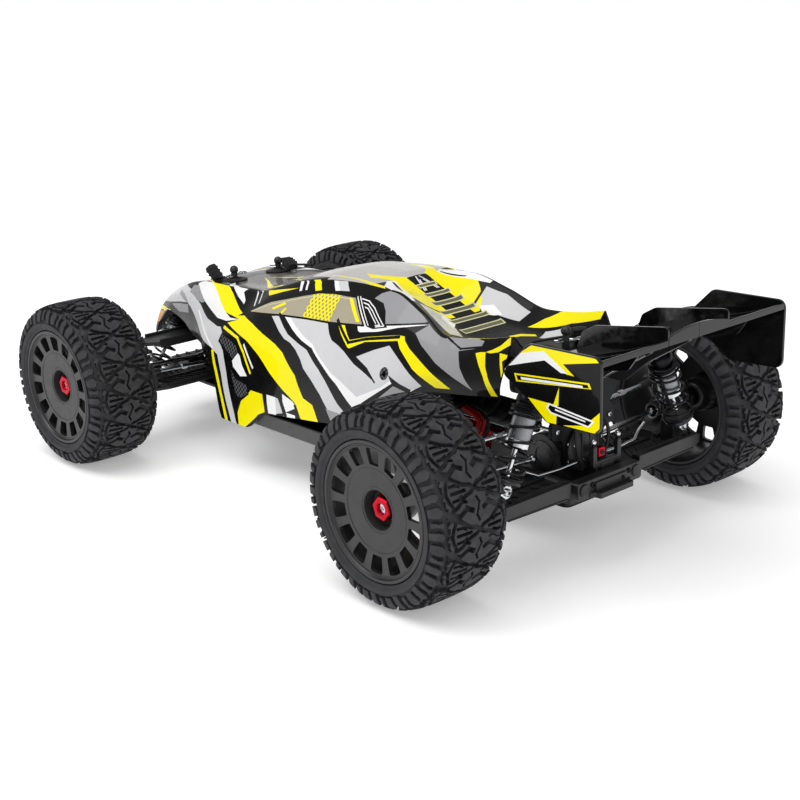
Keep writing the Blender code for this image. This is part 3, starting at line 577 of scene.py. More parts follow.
# Flat shapes of the paint scheme in (y, z) on the side, in the order they are laid down
SIDE_ART = [
    ("light", [(-290, 145), (-211, 143), (-202, 143), (-190, 141), (-180, 138), (-170, 135),
               (-159, 130), (-151, 127), (-130, 123.8), (-125, 124.4), (-119, 120), (-121, 113),
               (-113, 106), (-104, 88), (-96, 66), (-88, 43), (-96, 43), (-104, 62), (-112, 84),
               (-120, 101), (-129.4, 105.4), (-146, 108.8), (-152.5, 111), (-170, 120.6),
               (-180, 126), (-190, 130), (-197, 131.5), (-215, 129), (-240, 124.5), (-276, 118),
               (-290, 118)]),
    ("mid", [(-239, 124), (-215, 129), (-197, 131.5), (-192, 124), (-215, 120.5)]),
    ("mid", [(-225, 139), (-210, 138), (-200, 134), (-196, 131.5), (-205, 132.5), (-222, 135.5)]),
    ("mid", [(-204, 146), (-191, 148), (-181, 145), (-170, 141.6), (-164, 139.8), (-170, 137),
             (-181, 137.6), (-190, 140), (-202, 141)]),
    ("white", [(-198, 148), (-190, 153), (-177.5, 153), (-165, 150), (-152.5, 146), (-140, 141),
               (-127.5, 136), (-116, 133), (-103, 134), (-120, 130), (-135, 130),
               (-150, 134), (-165, 138.5), (-177.5, 143), (-190, 146.5)]),
    ("yellow", [(-216, 152), (-195, 156), (-172, 158), (-152, 155), (-134, 149.5), (-110, 140.5),
                (-100, 138), (-80, 134.5), (-60, 129), (-40, 124.5), (-27, 120), (-20, 115),
                (-12, 109.5), (-5, 105), (0, 98), (8, 88), (20, 84.5), (30, 70.5), (2.5, 67),
                (-4, 82), (-20, 90), (-40, 101), (-50, 107), (-60, 112), (-70, 116), (-80, 120),
                (-105, 125.5), (-117, 129), (-103, 134), (-127.5, 136), (-140, 141),
                (-152.5, 146), (-165, 150), (-177.5, 153), (-192, 152)]),
    ("white", [(-141, 158), (-125, 160), (-118, 158), (-122, 152), (-112, 147), (-110, 144.5),
               (-125, 148.5), (-144, 155)]),
    ("light", [(-49, 145.5), (-37, 139), (-27, 134.5), (-10, 130.5), (5, 127.5), (15, 121),
               (25, 115), (35, 107.5), (52, 92), (64, 84), (44, 74), (40, 84), (30, 95),
               (17, 105), (5, 112.5), (-1, 119), (-10, 125), (-20, 129), (-30, 130.5),
               (-40, 134.5), (-58, 144)]),
    ("mid", [(60.4, 175.6), (65.6, 180), (77.5, 184), (88.8, 184), (102.5, 180.8), (117.5, 175.5),
             (130.5, 168.2), (86.5, 159.5), (80, 169), (73, 174)]),
    ("white", [(55, 155), (58, 151.5), (60.6, 150.6), (80, 154), (100, 160), (131, 166.4),
               (100, 162.5), (86.6, 159.8), (70, 156.8)]),
    ("mid", [(131, 167), (190, 164), (188.8, 159.4), (181, 157), (168.8, 153.8), (175, 143),
             (182.5, 136), (191.9, 128.8), (171, 135.4), (150, 142.5), (130, 152), (120, 159)]),
    ("yellow", [(30, 154.5), (39, 154.5), (42.5, 151.3), (47.5, 147), (52.5, 143.5), (70, 148.5),
                (95, 153.5), (105, 155.3), (110.6, 155.3), (112.5, 152.5), (120, 147.8),
                (140, 139), (160, 130.6), (170, 126), (160, 124.8), (155, 124.4), (130, 134.4),
                (110, 146.3), (105, 151.3), (90, 148.4), (70, 144.8), (60, 140), (55, 137.5),
                (52.5, 138.1), (40, 146.3), (34, 151)]),
    ("white", [(-40, 146), (-20, 137.5), (-5, 133), (9, 130), (25, 120), (42, 111), (48, 108),
               (70.6, 92), (87.5, 104), (111, 120), (107, 125.5), (118, 121), (130.6, 117),
               (137, 121), (142.5, 124), (120, 136), (98, 147.5), (81, 141.5), (64.4, 133),
               (80, 126), (91.3, 117.8), (80, 122), (65, 127), (50, 134.6), (42, 137.5),
               (32, 140), (26, 144), (18, 152), (-10, 150), (-41, 147)]),
    ("light", [(-34, 147.5), (-18, 141), (-4, 136.3), (10, 133.2), (26, 123.3), (42, 115),
               (56, 110), (74, 102.5), (100, 115), (109, 122), (107, 125.5), (130, 117.5),
               (136.5, 121), (142, 124), (120, 136), (98, 147.2), (81, 141.3), (65, 133),
               (80, 126), (92, 117.6), (80, 121.8), (65, 127), (50, 134.6), (42, 137.5),
               (32, 140), (26, 144), (18, 152), (-10, 150)]),
    ("black", [(106, 126), (119, 121.5), (131, 118.5), (129, 115.5), (115, 119), (110, 121)]),
    ("mid", [(113, 118.5), (129, 115), (120, 108), (100, 98), (92, 101)]),
    ("yellow", [(185.6, 155), (189.4, 156.3), (195, 157.3), (195.6, 155.6), (198.8, 148),
                (205, 140), (212.5, 132.5), (215.6, 128.8), (209.4, 128), (200, 140),
                (191.9, 148)]),
    ("yellow", [(195, 157.3), (201, 160), (207.5, 163.8), (213, 169.4), (215, 171), (217, 166),
                (212.5, 163), (207.5, 159.4), (200, 157.3)]),
    ("yellow", [(209, 159), (217, 159), (217, 156.5), (213.5, 154), (217, 147), (217, 143),
                (212, 152)]),
    ("yellow", [(-278, 106.3), (-273.8, 114.4), (-261, 116), (-236, 118), (-250, 113.8),
                (-273.8, 108.8)]),
    ("amber", LAMP),
    ("mesh", UPPER_VENT),
    ("mesh", LOWER_VENT),
    ("white", [(-97, 100), (-90, 108), (-86, 106), (-81, 99), (-72, 91), (-82, 89), (-94, 95)]),
    ("yellow", [(-85, 44), (-86, 55), (-80, 67), (-69, 76), (-65, 80), (-48, 80), (-46, 64),
                (-55, 60), (-62, 54), (-75, 44)]),
    ("white", [(-42, 81), (-30, 81), (-30, 65), (-42, 64)]),
    ("light", [(-30, 81), (-22, 80), (-19, 69), (-30, 66)]),
    ("white", [(-20, 86), (-6, 82), (-2, 77), (-17, 70), (-20, 78)]),
    ("mid", [(44, 73), (37, 85), (60, 84), (64, 82)]),
    ("white", [(-20, 70), (-4, 70), (-4, 66), (-20, 66)]),
    ("black", [(-108, 136), (-50, 146), (-10, 149), (20, 151.5), (54, 155), (59, 157.5),
               (45, 177.5), (30, 177), (8, 175), (-12, 172.5), (-32, 168), (-52, 162),
               (-72, 157)]),
    ("tan", [(-97, 141), (-69, 154), (-50, 159), (-30, 164.5), (-10, 169.5), (10, 172),
             (30, 173.4), (39, 173.4), (62, 156), (56, 155.4), (20, 151.5), (-10, 149.6),
             (-50, 146)]),
    ("dots", [(-17, 168), (4, 171.4), (20, 173.2), (20, 152.5), (-10, 150), (-17, 149.4)]),
    ("yellow", [(-63, 149.6), (-50, 156), (-47, 155), (-60, 148.8)]),
    ("yellow", [(-46, 152), (-43, 152.4), (-47, 147), (-50, 147)]),
    ("yellow", [(31, 172), (36, 172), (56, 157.6), (52, 157)]),
    ("black", [(-40, 176), (-5, 180), (30, 181.5), (42, 176.5), (20, 176), (-10, 173.5),
               (-42, 167)]),
    ("black", [(41, 179), (52, 181), (66, 172.5), (78, 166), (89, 158.5), (74, 155),
               (66, 155.6), (56, 162), (44, 172)]),
    ("yellow", [(-89, 158), (-66, 163), (-42, 168), (-62, 162), (-80, 156)]),
    ("white", [(-47, 176), (-43, 176.6), (-36, 167), (-39, 166)]),
    ("white", [(-38, 177), (-35, 177.4), (-29, 168.5), (-31.5, 168)]),
    ("yellow", [(-28, 178), (-19, 179), (-9, 171.5), (-17, 169.6)]),
    ("white", [(0, 180), (5, 180.6), (15, 174.6), (9, 173.6)]),
    ("light", [(5, 180.6), (18, 182), (27, 176), (15, 174.6)]),
]

# Lines of the side: colour, width and points
SIDE_LINES = [
    # The thin white line along the fender crease is a painted highlight
    ("white", 2.0, [(-170, 130), (-150, 118), (-129, 106)]),
    ("black", 1.6, [(-239, 124), (-215, 129), (-197, 131.5)]),
    ("black", 2.0, [(-281, 107.5), (-274, 117), (-236, 120)]),
    ("black", 1.4, LAMP),
    ("yellow", 4.4, [(-127.5, 102), (-119, 84), (-110, 62), (-104, 45)]),
    ("black", 1.6, [(-130.5, 104), (-122, 85), (-113, 62), (-107, 45)]),
    ("black", 1.6, [(-124.5, 102), (-116, 84), (-107, 62), (-101, 45)]),
    ("black", 1.8, [*UPPER_VENT, UPPER_VENT[0]]),
    ("black", 1.8, [*LOWER_VENT, LOWER_VENT[0]]),
    ("yellow", 2.4, [(-119, 125), (-95, 120), (-82, 110), (-68, 95)]),
    ("white", 2.0, [(-83, 116), (-65, 100)]),
    ("black", 4.0, [(-45, 82), (-43, 64)]),
    ("black", 5.0, [(-24, 82), (-18, 68)]),
    ("black", 3.5, [(2, 67), (-3, 78)]),
    ("black", 5.0, [(29, 71), (22, 86)]),
    ("black", 2.4, [(30, 155), (52, 141.5), (70, 147), (105, 154)]),
    ("black", 2.2, [(-49, 147), (-10, 133), (10, 129), (30, 117), (52, 103), (72, 89)]),
    ("black", 1.6, [(64, 133), (82, 141.4), (98, 147.4), (120, 136), (142, 124)]),
    ("black", 1.6, [(64, 132.6), (80, 126), (92, 117.6)]),
    ("black", 1.4, [(86, 160), (131, 167.4), (170, 155.5), (190, 160)]),
    ("white", 1.2, [(-106, 155), (-92, 146.6)]),
    ("white", 1.0, [(-101, 157.4), (-87, 149.4)]),
    ("white", 1.2, [(40.6, 173.6), (63.6, 156.4)]),
    ("white", 0.8, [(43.6, 174.4), (67, 156.8)]),
    ("white", 0.8, [(47, 173.4), (56, 173), (66, 169.4), (84.6, 158.9), (76, 157)]),
    ("white", 0.8, [(51, 171), (57, 170.6), (65.4, 167), (80, 158.8), (75, 158)]),
    ("white", 0.8, [(55, 168.4), (59, 168), (65, 164.8), (74.5, 159.4)]),
    ("black", 1.5, [(-97, 141), (-69, 154), (-50, 159), (-30, 164.5), (-10, 169.5), (10, 172),
                    (39, 173.6), (62, 155.8), (20, 151.5), (-10, 149.6), (-50, 146), (-97, 141)]),
    ("cream", 0.5, [(-90, 142.4), (-68, 151.6), (-50, 156.6), (-30, 162.2), (-10, 167.2),
                    (10, 169.8), (36, 171.4)]),
]

# Flat shapes in (x, y) on the bonnet, roof and rear deck
TOP_ART = [
    ("light", [(0, -290), (60, -290), (70, -140), (58, -138), (47, -172), (38, -198), (2, -256),
               (0, -258)]),
    ("mid", [(0, -268), (0, -259), (36, -203), (45, -183), (52, -186), (43, -206)]),
    ("mid", [(0, -284), (0, -281), (42, -222), (56, -200), (57, -204)]),
    ("yellow", [(22, -283), (26, -281), (41, -272), (47, -259), (50, -248), (53, -249),
                (51, -262), (43, -276)]),
    ("yellow", [(0, -260), (0, -250), (30, -207), (40, -187), (47, -172), (52, -166),
                (56, -195), (46, -190), (38, -200)]),
    ("light", [(0, -238), (0, -229), (24, -193), (30, -186), (30, -197)]),
    ("smoke", [(0, -172), (22, -168), (33, -156), (40, -135), (44, -105), (42, -75), (36, -50),
               (0, -58)]),
    ("roof", [(0, -48), (36, -42), (44, -10), (46, 20), (46, 48), (24, 55), (0, 56)]),
    ("white", [(33, -158), (44, -152), (52, -143), (56, -128), (58, -110), (52, -118),
               (46, -135), (40, -150)]),
    ("black", [(38, -136), (46, -130), (50, -118), (47, -112), (40, -124)]),
    ("yellow", [(0, -158), (10, -141), (24, -121), (32, -111), (45, -82), (50, -60), (53, -42),
                (47, -58), (42, -80), (26, -110), (20, -120), (8, -140)]),
    ("yellow", [(0, -108), (8, -100), (26, -80), (36, -60), (43, -45), (34, -58), (24, -74),
                (8, -93), (0, -99)]),
    ("yellow", [(36, -12), (38, 20), (43, 45), (46, 52), (45, 66), (40, 62), (40, 48),
                (36.5, 20), (35, -12)]),
    ("yellow", [(24, 20), (31, 33), (29, 42), (27, 48), (22, 54), (10, 55), (18, 48), (22, 38)]),
    ("white", [(43, -10), (47, 5), (50, 20), (50.5, 40), (46, 10), (42.5, -8)]),
    ("yellow", [(11, 53), (18, 50), (27, 30), (30, 34), (28, 47), (24, 55), (30, 70), (38, 90),
                (33, 98), (28, 104), (17, 113), (11, 113)]),
    ("white", [(24, 55), (30, 52), (40, 60), (46, 80), (48, 98), (44, 103), (38, 92), (30, 72),
               (25, 60)]),
    ("black", [(27, 55), (33, 68), (37, 78), (35, 78), (30, 68), (26, 58)]),
    ("light", [(20, 105), (38, 100), (44, 118), (46, 143), (32, 143), (24, 124), (20, 112)]),
    ("black", [(42, 100), (60, 100), (60, 147), (48, 147)]),
    ("black", [(0, 143), (46, 143), (56, 147), (56, 217), (0, 217)]),
    ("yellow", [(30, 154), (44, 160), (60, 176), (60, 217), (46, 217), (43, 190), (36, 170)]),
    ("light", [(20, 176), (32, 172), (39, 186), (41, 204), (33, 200), (26, 186)]),
    ("yellow", [(4, 158), (16, 160), (24, 168), (22, 172), (12, 164), (4, 162)]),
    ("black", [(0, 55), (10, 55), (10, 118), (23, 118), (23, 141), (0, 141)]),
    ("yellow", [(14, 62), (22, 60), (28, 80), (34, 96), (27, 106), (20, 110), (24, 98), (18, 84)]),
    ("white", [(16, 118), (21, 108), (30, 116), (28, 128), (22, 124)]),
]
TOP_LINES = [
    ("black", 3.0, [(0, -262), (37, -203), (46, -181)]),
    ("black", 2.5, [(0, -247), (30, -203), (45, -171)]),
    ("black", 8.0, [(0, -54), (37, -46), (43, -14)]),
    ("black", 2.0, [(0, -172), (22, -168), (33, -156), (40, -135), (44, -105), (42, -75)]),
    ("white", 1.2, [(2, 57), (8, 74)]),
    ("white", 1.2, [(2, 62), (6, 74)]),
    ("black", 2.0, [(20, 104), (39, 99)]),
]


def slope_limited(stations, values):
    """Slopes at the stations for a cubic that never overshoots its values."""
    steps = np.diff(stations)
    rises = np.diff(values) / steps
    slopes = np.zeros(len(values))
    slopes[0], slopes[-1] = rises[0], rises[-1]
    for i in range(1, len(values) - 1):
        if rises[i - 1] * rises[i] > 0:
            one, two = 2 * steps[i] + steps[i - 1], steps[i] + 2 * steps[i - 1]
            slopes[i] = (one + two) / (one / rises[i - 1] + two / rises[i])
    return slopes


def cubic(stations, values, slopes, at):
    i = min(max(int(np.searchsorted(stations, at)) - 1, 0), len(stations) - 2)
    step = stations[i + 1] - stations[i]
    t = (at - stations[i]) / step
    return (
        values[i] * (1 + 2 * t) * (1 - t) ** 2
        + slopes[i] * step * t * (1 - t) ** 2
        + values[i + 1] * t * t * (3 - 2 * t)
        + slopes[i + 1] * step * t * t * (t - 1)
    )


def bend(one, corner, two, share):
    """A point on the rounded corner between two points."""
    return one * (1 - share) ** 2 + corner * 2 * share * (1 - share) + two * share**2


def section_points(half):
    """The section's points from the centre line out, and the number up to the crest."""
    p = [np.array(v, float) for v in half]
    rows = []

    def towards(a, b, distance):
        gap = b - a
        return a + gap * min(distance / np.linalg.norm(gap), 0.45)

    fold_in, fold_out = towards(p[1], p[0], 7), towards(p[1], p[2], 7)
    crest_in, crest_out = towards(p[2], p[1], 3.2), towards(p[2], p[3], 3.2)
    rows += [p[0] + (fold_in - p[0]) * i / 5 for i in range(5)]
    rows += [bend(fold_in, p[1], fold_out, i / 4) for i in range(4)]
    rows += [fold_out + (crest_in - fold_out) * i / 7 for i in range(7)]
    rows += [bend(crest_in, p[2], crest_out, i / 6) for i in range(6)]
    crest = len(rows) - 3
    side = [crest_out, *p[3:]]
    slopes = [side[1] - side[0]]
    slopes += [(side[i + 1] - side[i - 1]) / 2 for i in range(1, len(side) - 1)]
    slopes += [side[-1] - side[-2]]
    for i in range(len(side) - 1):
        count = (8, 8, 10, 8)[i]
        for k in range(count):
            t = k / count
            rows.append(
                side[i] * (1 + 2 * t) * (1 - t) ** 2 + slopes[i] * t * (1 - t) ** 2
                + side[i + 1] * t * t * (3 - 2 * t) + slopes[i + 1] * t * t * (t - 1)
            )
    rows.append(side[-1])
    return np.array(rows), crest


class ShellSurface:
    """The left half of the shell as a grid of points: row by row along y, column by column out."""

    def __init__(self):
        stations = np.array([y for y, _ in SHELL_SECTIONS], float)
        table = np.array([half for _, half in SHELL_SECTIONS], float)
        count = int((stations[-1] - stations[0]) / SHELL_STEP)
        self.rows = np.linspace(stations[0], stations[-1], count + 1)
        slopes = np.zeros_like(table)
        for i in range(table.shape[1]):
            for k in range(2):
                slopes[:, i, k] = slope_limited(stations, table[:, i, k])
        grid = []
        for y in self.rows:
            half = [
                [cubic(stations, table[:, i, k], slopes[:, i, k], y) for k in range(2)]
                for i in range(table.shape[1])
            ]
            points, self.crest = section_points(half)
            grid.append([(x, y, z) for x, z in points])
        self.grid = np.array(grid)
        self.wide = self.grid.shape[1]
        self.columns = np.arange(self.wide) * SHELL_STEP
        along = np.gradient(self.grid, axis=0)
        across = np.gradient(self.grid, axis=1)
        across[:, 0] = (1, 0, 0)
        normals = np.cross(across, along)
        normals /= np.linalg.norm(normals, axis=2)[:, :, None]
        normals[:, 0, 0] = 0
        self.normals = normals * np.sign(normals[:, :1, 2:])

    def row_at(self, y):
        place = np.clip((y - self.rows[0]) / (self.rows[1] - self.rows[0]), 0, len(self.rows) - 1.001)
        i = int(place)
        return self.grid[i] * (i + 1 - place) + self.grid[i + 1] * (place - i)

    def side_place(self, y, z):
        """The (column, y) of a point seen from the side."""
        y = min(max(y, self.rows[0]), self.rows[-1])
        heights = np.minimum.accumulate(self.row_at(y)[self.crest :, 2])
        column = np.interp(-z, -heights, self.columns[self.crest :])
        return column, y

    def top_place(self, x, y):
        """The (column, y) of a point seen from above."""
        y = min(max(y, self.rows[0]), self.rows[-1])
        widths = np.maximum.accumulate(self.row_at(y)[: self.crest + 1, 0])
        return np.interp(x, widths, self.columns[: self.crest + 1]), y

    def sample(self, places, values):
        """Values of the grid at (column, y) places, mixed from the four nearest points."""
        u = np.clip(places[:, 0] / SHELL_STEP, 0, self.wide - 1.0001)
        step = self.rows[1] - self.rows[0]
        v = np.clip((places[:, 1] - self.rows[0]) / step, 0, len(self.rows) - 1.0001)
        i, j = u.astype(int), v.astype(int)
        a, b = (u - i)[:, None], (v - j)[:, None]
        return (
            values[j, i] * (1 - a) * (1 - b) + values[j, i + 1] * a * (1 - b)
            + values[j + 1, i] * (1 - a) * b + values[j + 1, i + 1] * a * b
        )


def circle(x, y, radius, count=20):
    angles = [2 * pi * i / count for i in range(count)]
    return [(x + radius * cos(a), y + radius * sin(a)) for a in angles]


# The rear window's louvres: front edge, rear edge and half width
LOUVRES = [(66, 71, 11), (78, 83.5, 15), (90, 96, 18), (102, 108, 20), (115, 121, 22), (130, 137, 24)]


def paint_outlines(surface):
    """Every painted outline as (look, points in column and y), in painting order."""
    outlines = []

    def lay(place, art, lines):
        for look, shape in art + [(look, s) for look, width, line in lines for s in stroke(line, width)]:
            outlines.append((look, [place(*p) for p in divided(shape, 4)]))

    lay(surface.top_place, TOP_ART, TOP_LINES)
    for low, high, half in LOUVRES:
        for look, inset in (("cream", 0), ("olive", 1.2)):
            slat = [(-1, low + inset), (half - inset, low + inset), (half - inset - 1, high - inset),
                    (-1, high - inset)]
            outlines.append((look, [surface.top_place(*p) for p in slat]))
    lay(surface.side_place, SIDE_ART, SIDE_LINES)
    edge = surface.columns[surface.crest]
    crest = [(edge - 4, 74), (edge + 4, 74), (edge + 7, 100), (edge + 8, 152), (edge - 6, 150),
             (edge - 5, 100)]
    outlines.append(("black", crest))
    post = [surface.top_place(*p) for p in circle(FRONT_POST[0], FRONT_POST[1], POST_HOLE)]
    outlines.append((None, post))
    side_hole = [surface.side_place(*p) for p in circle(101, 126, 5)]
    outlines.append(("mesh", side_hole))
    outlines.append((None, [surface.side_place(*p) for p in circle(101, 126, 2.2)]))
    return outlines


def build_shell():
    surface = ShellSurface()
    outlines = paint_outlines(surface)
    places, triangles = cut_grid(surface.columns, surface.rows, [o for _, o in outlines])
    middles = places[triangles].mean(axis=1)
    looks = ["black", "shell_inside"]
    colours = np.zeros(len(triangles), int)
    for look, outline in outlines:
        if look and look not in looks:
            looks.append(look)
        hit = inside(middles, outline)
        colours[hit] = looks.index(look) if look else -1
    keep = colours >= 0
    triangles, colours = triangles[keep], colours[keep]
    points = surface.sample(places, surface.grid)
    normals = surface.sample(places, surface.normals)
    normals /= np.linalg.norm(normals, axis=1)[:, None]
    solid = np.linalg.norm(facing_of(points, triangles), axis=1) > 1e-7
    outer = oriented(Layer(points, normals, triangles[solid], colours[solid]))
    inside_out = outer.triangles[:, ::-1]
    inner = Layer(points - normals * SHELL_WALL, -normals, inside_out, np.ones(len(inside_out), int))
    layers = [outer, inner, shell_rim(outer, inner)]
    layers += [layer.mirrored() for layer in layers]
    layers.append(nose_cap(surface))
    return layers, looks


class Layer:
    """Some triangles with their points, normals and look numbers."""

    def __init__(self, points, normals, triangles, colours):
        self.points, self.normals = points, normals
        self.triangles, self.colours = triangles, colours

    def mirrored(self):
        flip = np.array((-1, 1, 1))
        return Layer(self.points * flip, self.normals * flip, self.triangles[:, ::-1], self.colours)


def facing_of(points, triangles):
    """Each triangle's normal, twice as long as its area."""
    spans = points[triangles]
    return np.cross(spans[:, 1] - spans[:, 0], spans[:, 2] - spans[:, 0])


def flat_layer(points, triangles, colour):
    """A layer whose triangle pairs, four points each, are shaded flat."""
    facing = facing_of(points, triangles)
    facing /= np.maximum(np.linalg.norm(facing, axis=1), 1e-9)[:, None]
    normals = np.zeros_like(points)
    for corner in range(3):
        normals[triangles[:, corner]] = facing
    return Layer(points, normals, triangles, np.full(len(triangles), colour))


def oriented(layer):
    """The same layer with every triangle wound to agree with its normals."""
    facing = facing_of(layer.points, layer.triangles)
    flip = (facing * layer.normals[layer.triangles].mean(axis=1)).sum(axis=1) < 0
    layer.triangles = layer.triangles.copy()
    layer.triangles[flip] = layer.triangles[flip][:, ::-1]
    return layer


def joined(layers):
    """All the layers as one."""
    firsts = np.cumsum([0] + [len(layer.points) for layer in layers])
    return Layer(
        np.vstack([layer.points for layer in layers]),
        np.vstack([layer.normals for layer in layers]),
        np.vstack([layer.triangles + first for layer, first in zip(layers, firsts)]),
        np.concatenate([layer.colours for layer in layers]),
    )


def layer_mesh(name, layer, places, looks):
    """A mesh made from a layer, with its points at places, in metres."""
    mesh = bpy.data.meshes.new(name)
    mesh.from_pydata(places, [], layer.triangles.tolist())
    for look in looks:
        mesh.materials.append(LOOKS[look])
    mesh.polygons.foreach_set("material_index", layer.colours)
    mesh.polygons.foreach_set("use_smooth", [True] * len(mesh.polygons))
    mesh.update()
    mesh.normals_split_custom_set_from_vertices(layer.normals.tolist())
    return mesh


def shell_rim(outer, inner):
    """The cut edge of the sheet: the strip between its two faces along every open edge."""
    seen = {}
    for a, b, c in outer.triangles:
        for one, two in ((a, b), (b, c), (c, a)):
            seen[(one, two)] = seen.get((one, two), 0) + 1
    points, triangles = [], []
    for one, two in seen:
        if (two, one) in seen or (outer.points[one][0] < 0.01 and outer.points[two][0] < 0.01):
            continue
        first = len(points)
        points += [outer.points[one], outer.points[two], inner.points[one], inner.points[two]]
        triangles += [(first, first + 2, first + 1), (first + 1, first + 2, first + 3)]
    return flat_layer(np.array(points), np.array(triangles), 0)


def nose_cap(surface):
    """The rounded front of the nose, closed from one side of the car to the other."""
    first = surface.grid[0]
    outline = np.vstack([first[::-1] * (-1, 1, 1), first[1:]])
    middle = np.array((0.0, surface.rows[0] - 4.0, 86.0))
    rings = []
    for share, bulge in ((0, 0), (0.06, 1.8), (0.2, 3.0), (0.5, 3.8), (0.999, 4.0)):
        ring = outline + (middle - outline) * share
        ring[:, 1] = surface.rows[0] - bulge
        rings.append(ring)
    points = np.vstack(rings)
    wide = len(outline)
    triangles = []
    for j in range(len(rings) - 1):
        for i in range(wide - 1):
            a, b = j * wide + i, j * wide + i + 1
            triangles += [(a, a + wide, b), (b, a + wide, b + wide)]
    triangles = np.array(triangles)
    normals = points - np.array((0, surface.rows[0] + 12.0, 88.0))
    normals /= np.linalg.norm(normals, axis=1)[:, None]
    return oriented(Layer(points, normals, triangles, np.zeros(len(triangles), int)))


def body_shell():
    layers, looks = build_shell()
    whole = joined(layers)
    mesh = layer_mesh("painted_shell", whole, [TO_WORLD @ Vector(p) for p in whole.points], looks)
    show("painted_shell", mesh, "shell", ["body_shell"], weighted=False)


body_shell()

# ---------------------------------------------------------------- wheels

# The tyre's outer profile from the middle of the tread: distance from the middle plane, radius
TYRE_PROFILE = [(0, 75), (12, 74.9), (20, 74.4), (26, 73.2), (30, 70.8), (32.6, 67), (33.8, 62.5),
                (34, 59), (33.4, 56), (32.2, 53.6)]
PITCHES = 16
PITCH = 2 * pi * TYRE_PROFILE[0][1] / PITCHES
TREAD_EDGE = 44.0
WHEEL_X = 165
WINDOWS = 14
RING_RADIUS, HUB_RADIUS, DISC_WALL = 40, 15.2, 3.2  # the ring is where the windows' widths are given


def profile_at(distance):
    """The tyre's (x, radius) and outward normal at a distance along its profile, as arrays."""
    line = np.array(TYRE_PROFILE, float)
    line = np.vstack([line[:0:-1] * (-1, 1), line])
    steps = np.concatenate([[0], np.cumsum(np.linalg.norm(np.diff(line, axis=0), axis=1))])
    steps -= steps[-1] / 2
    fine = np.linspace(steps[0], steps[-1], 400)
    smooth = np.stack([np.interp(fine, steps, line[:, k]) for k in range(2)], axis=1)
    kernel = np.ones(13) / 13
    for k in range(2):
        padded = np.pad(smooth[:, k], 6, mode="reflect", reflect_type="odd")
        smooth[:, k] = np.convolve(padded, kernel, mode="valid")
    ahead = np.gradient(smooth, axis=0)
    normal = np.stack([-ahead[:, 1], ahead[:, 0]], axis=1)
    normal /= np.linalg.norm(normal, axis=1)[:, None]
    return tuple(
        np.stack([np.interp(distance, fine, values[:, k]) for k in range(2)], axis=1)
        for values in (smooth, normal)
    )


def groove_depth(distance):
    return np.interp(np.abs(distance), (0, 28, 36, 41, TREAD_EDGE), (3.9, 3.9, 3.2, 2.4, 0.0))


def tread_grooves():
    """One pitch of the tread pattern: every groove as outlines in (along the tread, across it)."""
    half = PITCH / 2
    lines = []
    for turn in (1, -1):
        lines += [
            (3.2, [(-12.5 * turn, -25), (-9.5 * turn, -17), (-4 * turn, -9), (-2.4 * turn, -3.4),
                   (0, 0), (2.4 * turn, 3.4), (4 * turn, 9), (9.5 * turn, 17), (12.5 * turn, 25)]),
            (2.6, [(0, 8.5 * turn), (0, 20 * turn)]),
            (2.3, [(-3.4, 12.6 * turn), (-5, 16 * turn), (-5.2, 20 * turn)]),
            (2.3, [(3.4, 12.6 * turn), (5, 16 * turn), (5.2, 20 * turn)]),
            (2.9, [(-10, 21 * turn), (-5, 23.4 * turn), (0, 24.6 * turn), (5, 23.4 * turn),
                   (10, 21 * turn)]),
            (3.9, [(half, 5.5 * turn), (half - 2.4, 10 * turn), (half + 1.8, 17 * turn),
                   (half - 1.6, 25 * turn), (half + 1.4, 33 * turn), (half, 46 * turn)]),
            (3.5, [(-half, 30 * turn), (-10.5, 27.5 * turn), (-6, 30 * turn), (-1, 27.6 * turn),
                   (4, 31 * turn), (9.5, 27.2 * turn), (half, 30 * turn)]),
            (4.4, [(-5.2, 28 * turn), (-6.4, 34 * turn), (-4.6, 48 * turn)]),
            (4.0, [(5.0, 28 * turn), (3.8, 34 * turn), (5.6, 48 * turn)]),
            (2.3, [(half - 6.8, 9.5 * turn), (half - 7.8, 13.5 * turn), (half - 4.2, 19 * turn)]),
        ]
    lines += [
        (2.0, [(-half, 0), (-half + 4, 1.8), (-half + 8, 0)]),
        (2.0, [(half, 0), (half - 4, -1.8), (half - 8, 0)]),
    ]
    outlines = []
    for width, line in lines:
        for shift in (-PITCH, 0, PITCH):
            moved = [(x + shift, y) for x, y in line]
            if min(x for x, _ in moved) < half + 3 and max(x for x, _ in moved) > -half - 3:
                outlines += stroke(moved, width)
    for low, high, edge in ((-half, -5, 40), (-5, 5, 42.4), (5, half, 41)):
        for turn in (1, -1):
            band = [(low, edge * turn), (high, edge * turn), (high, 50 * turn), (low, 50 * turn)]
            outlines.append(band)
    return outlines


def relief(places, triangles, raised, lift):
    """Layers for a surface in relief. lift gives points and normals, raised or sunk, at places."""
    tops, top_normals = lift(places, True)
    bases, base_normals = lift(places, False)
    layers = [
        Layer(tops, top_normals, triangles[raised], np.zeros(raised.sum(), int)),
        Layer(bases, base_normals, triangles[~raised], np.ones((~raised).sum(), int)),
    ]
    owner = {}
    for number, (a, b, c) in enumerate(triangles):
        for one, two in ((a, b), (b, c), (c, a)):
            owner[(one, two)] = number
    points, walls = [], []
    for (one, two), number in owner.items():
        other = owner.get((two, one))
        if other is None or not raised[number] or raised[other]:
            continue
        first = len(points)
        points += [tops[one], tops[two], bases[one], bases[two]]
        walls += [(first, first + 2, first + 1), (first + 1, first + 2, first + 3)]
    points, walls = np.array(points), np.array(walls)
    layers.append(flat_layer(points, walls, 1))
    return layers


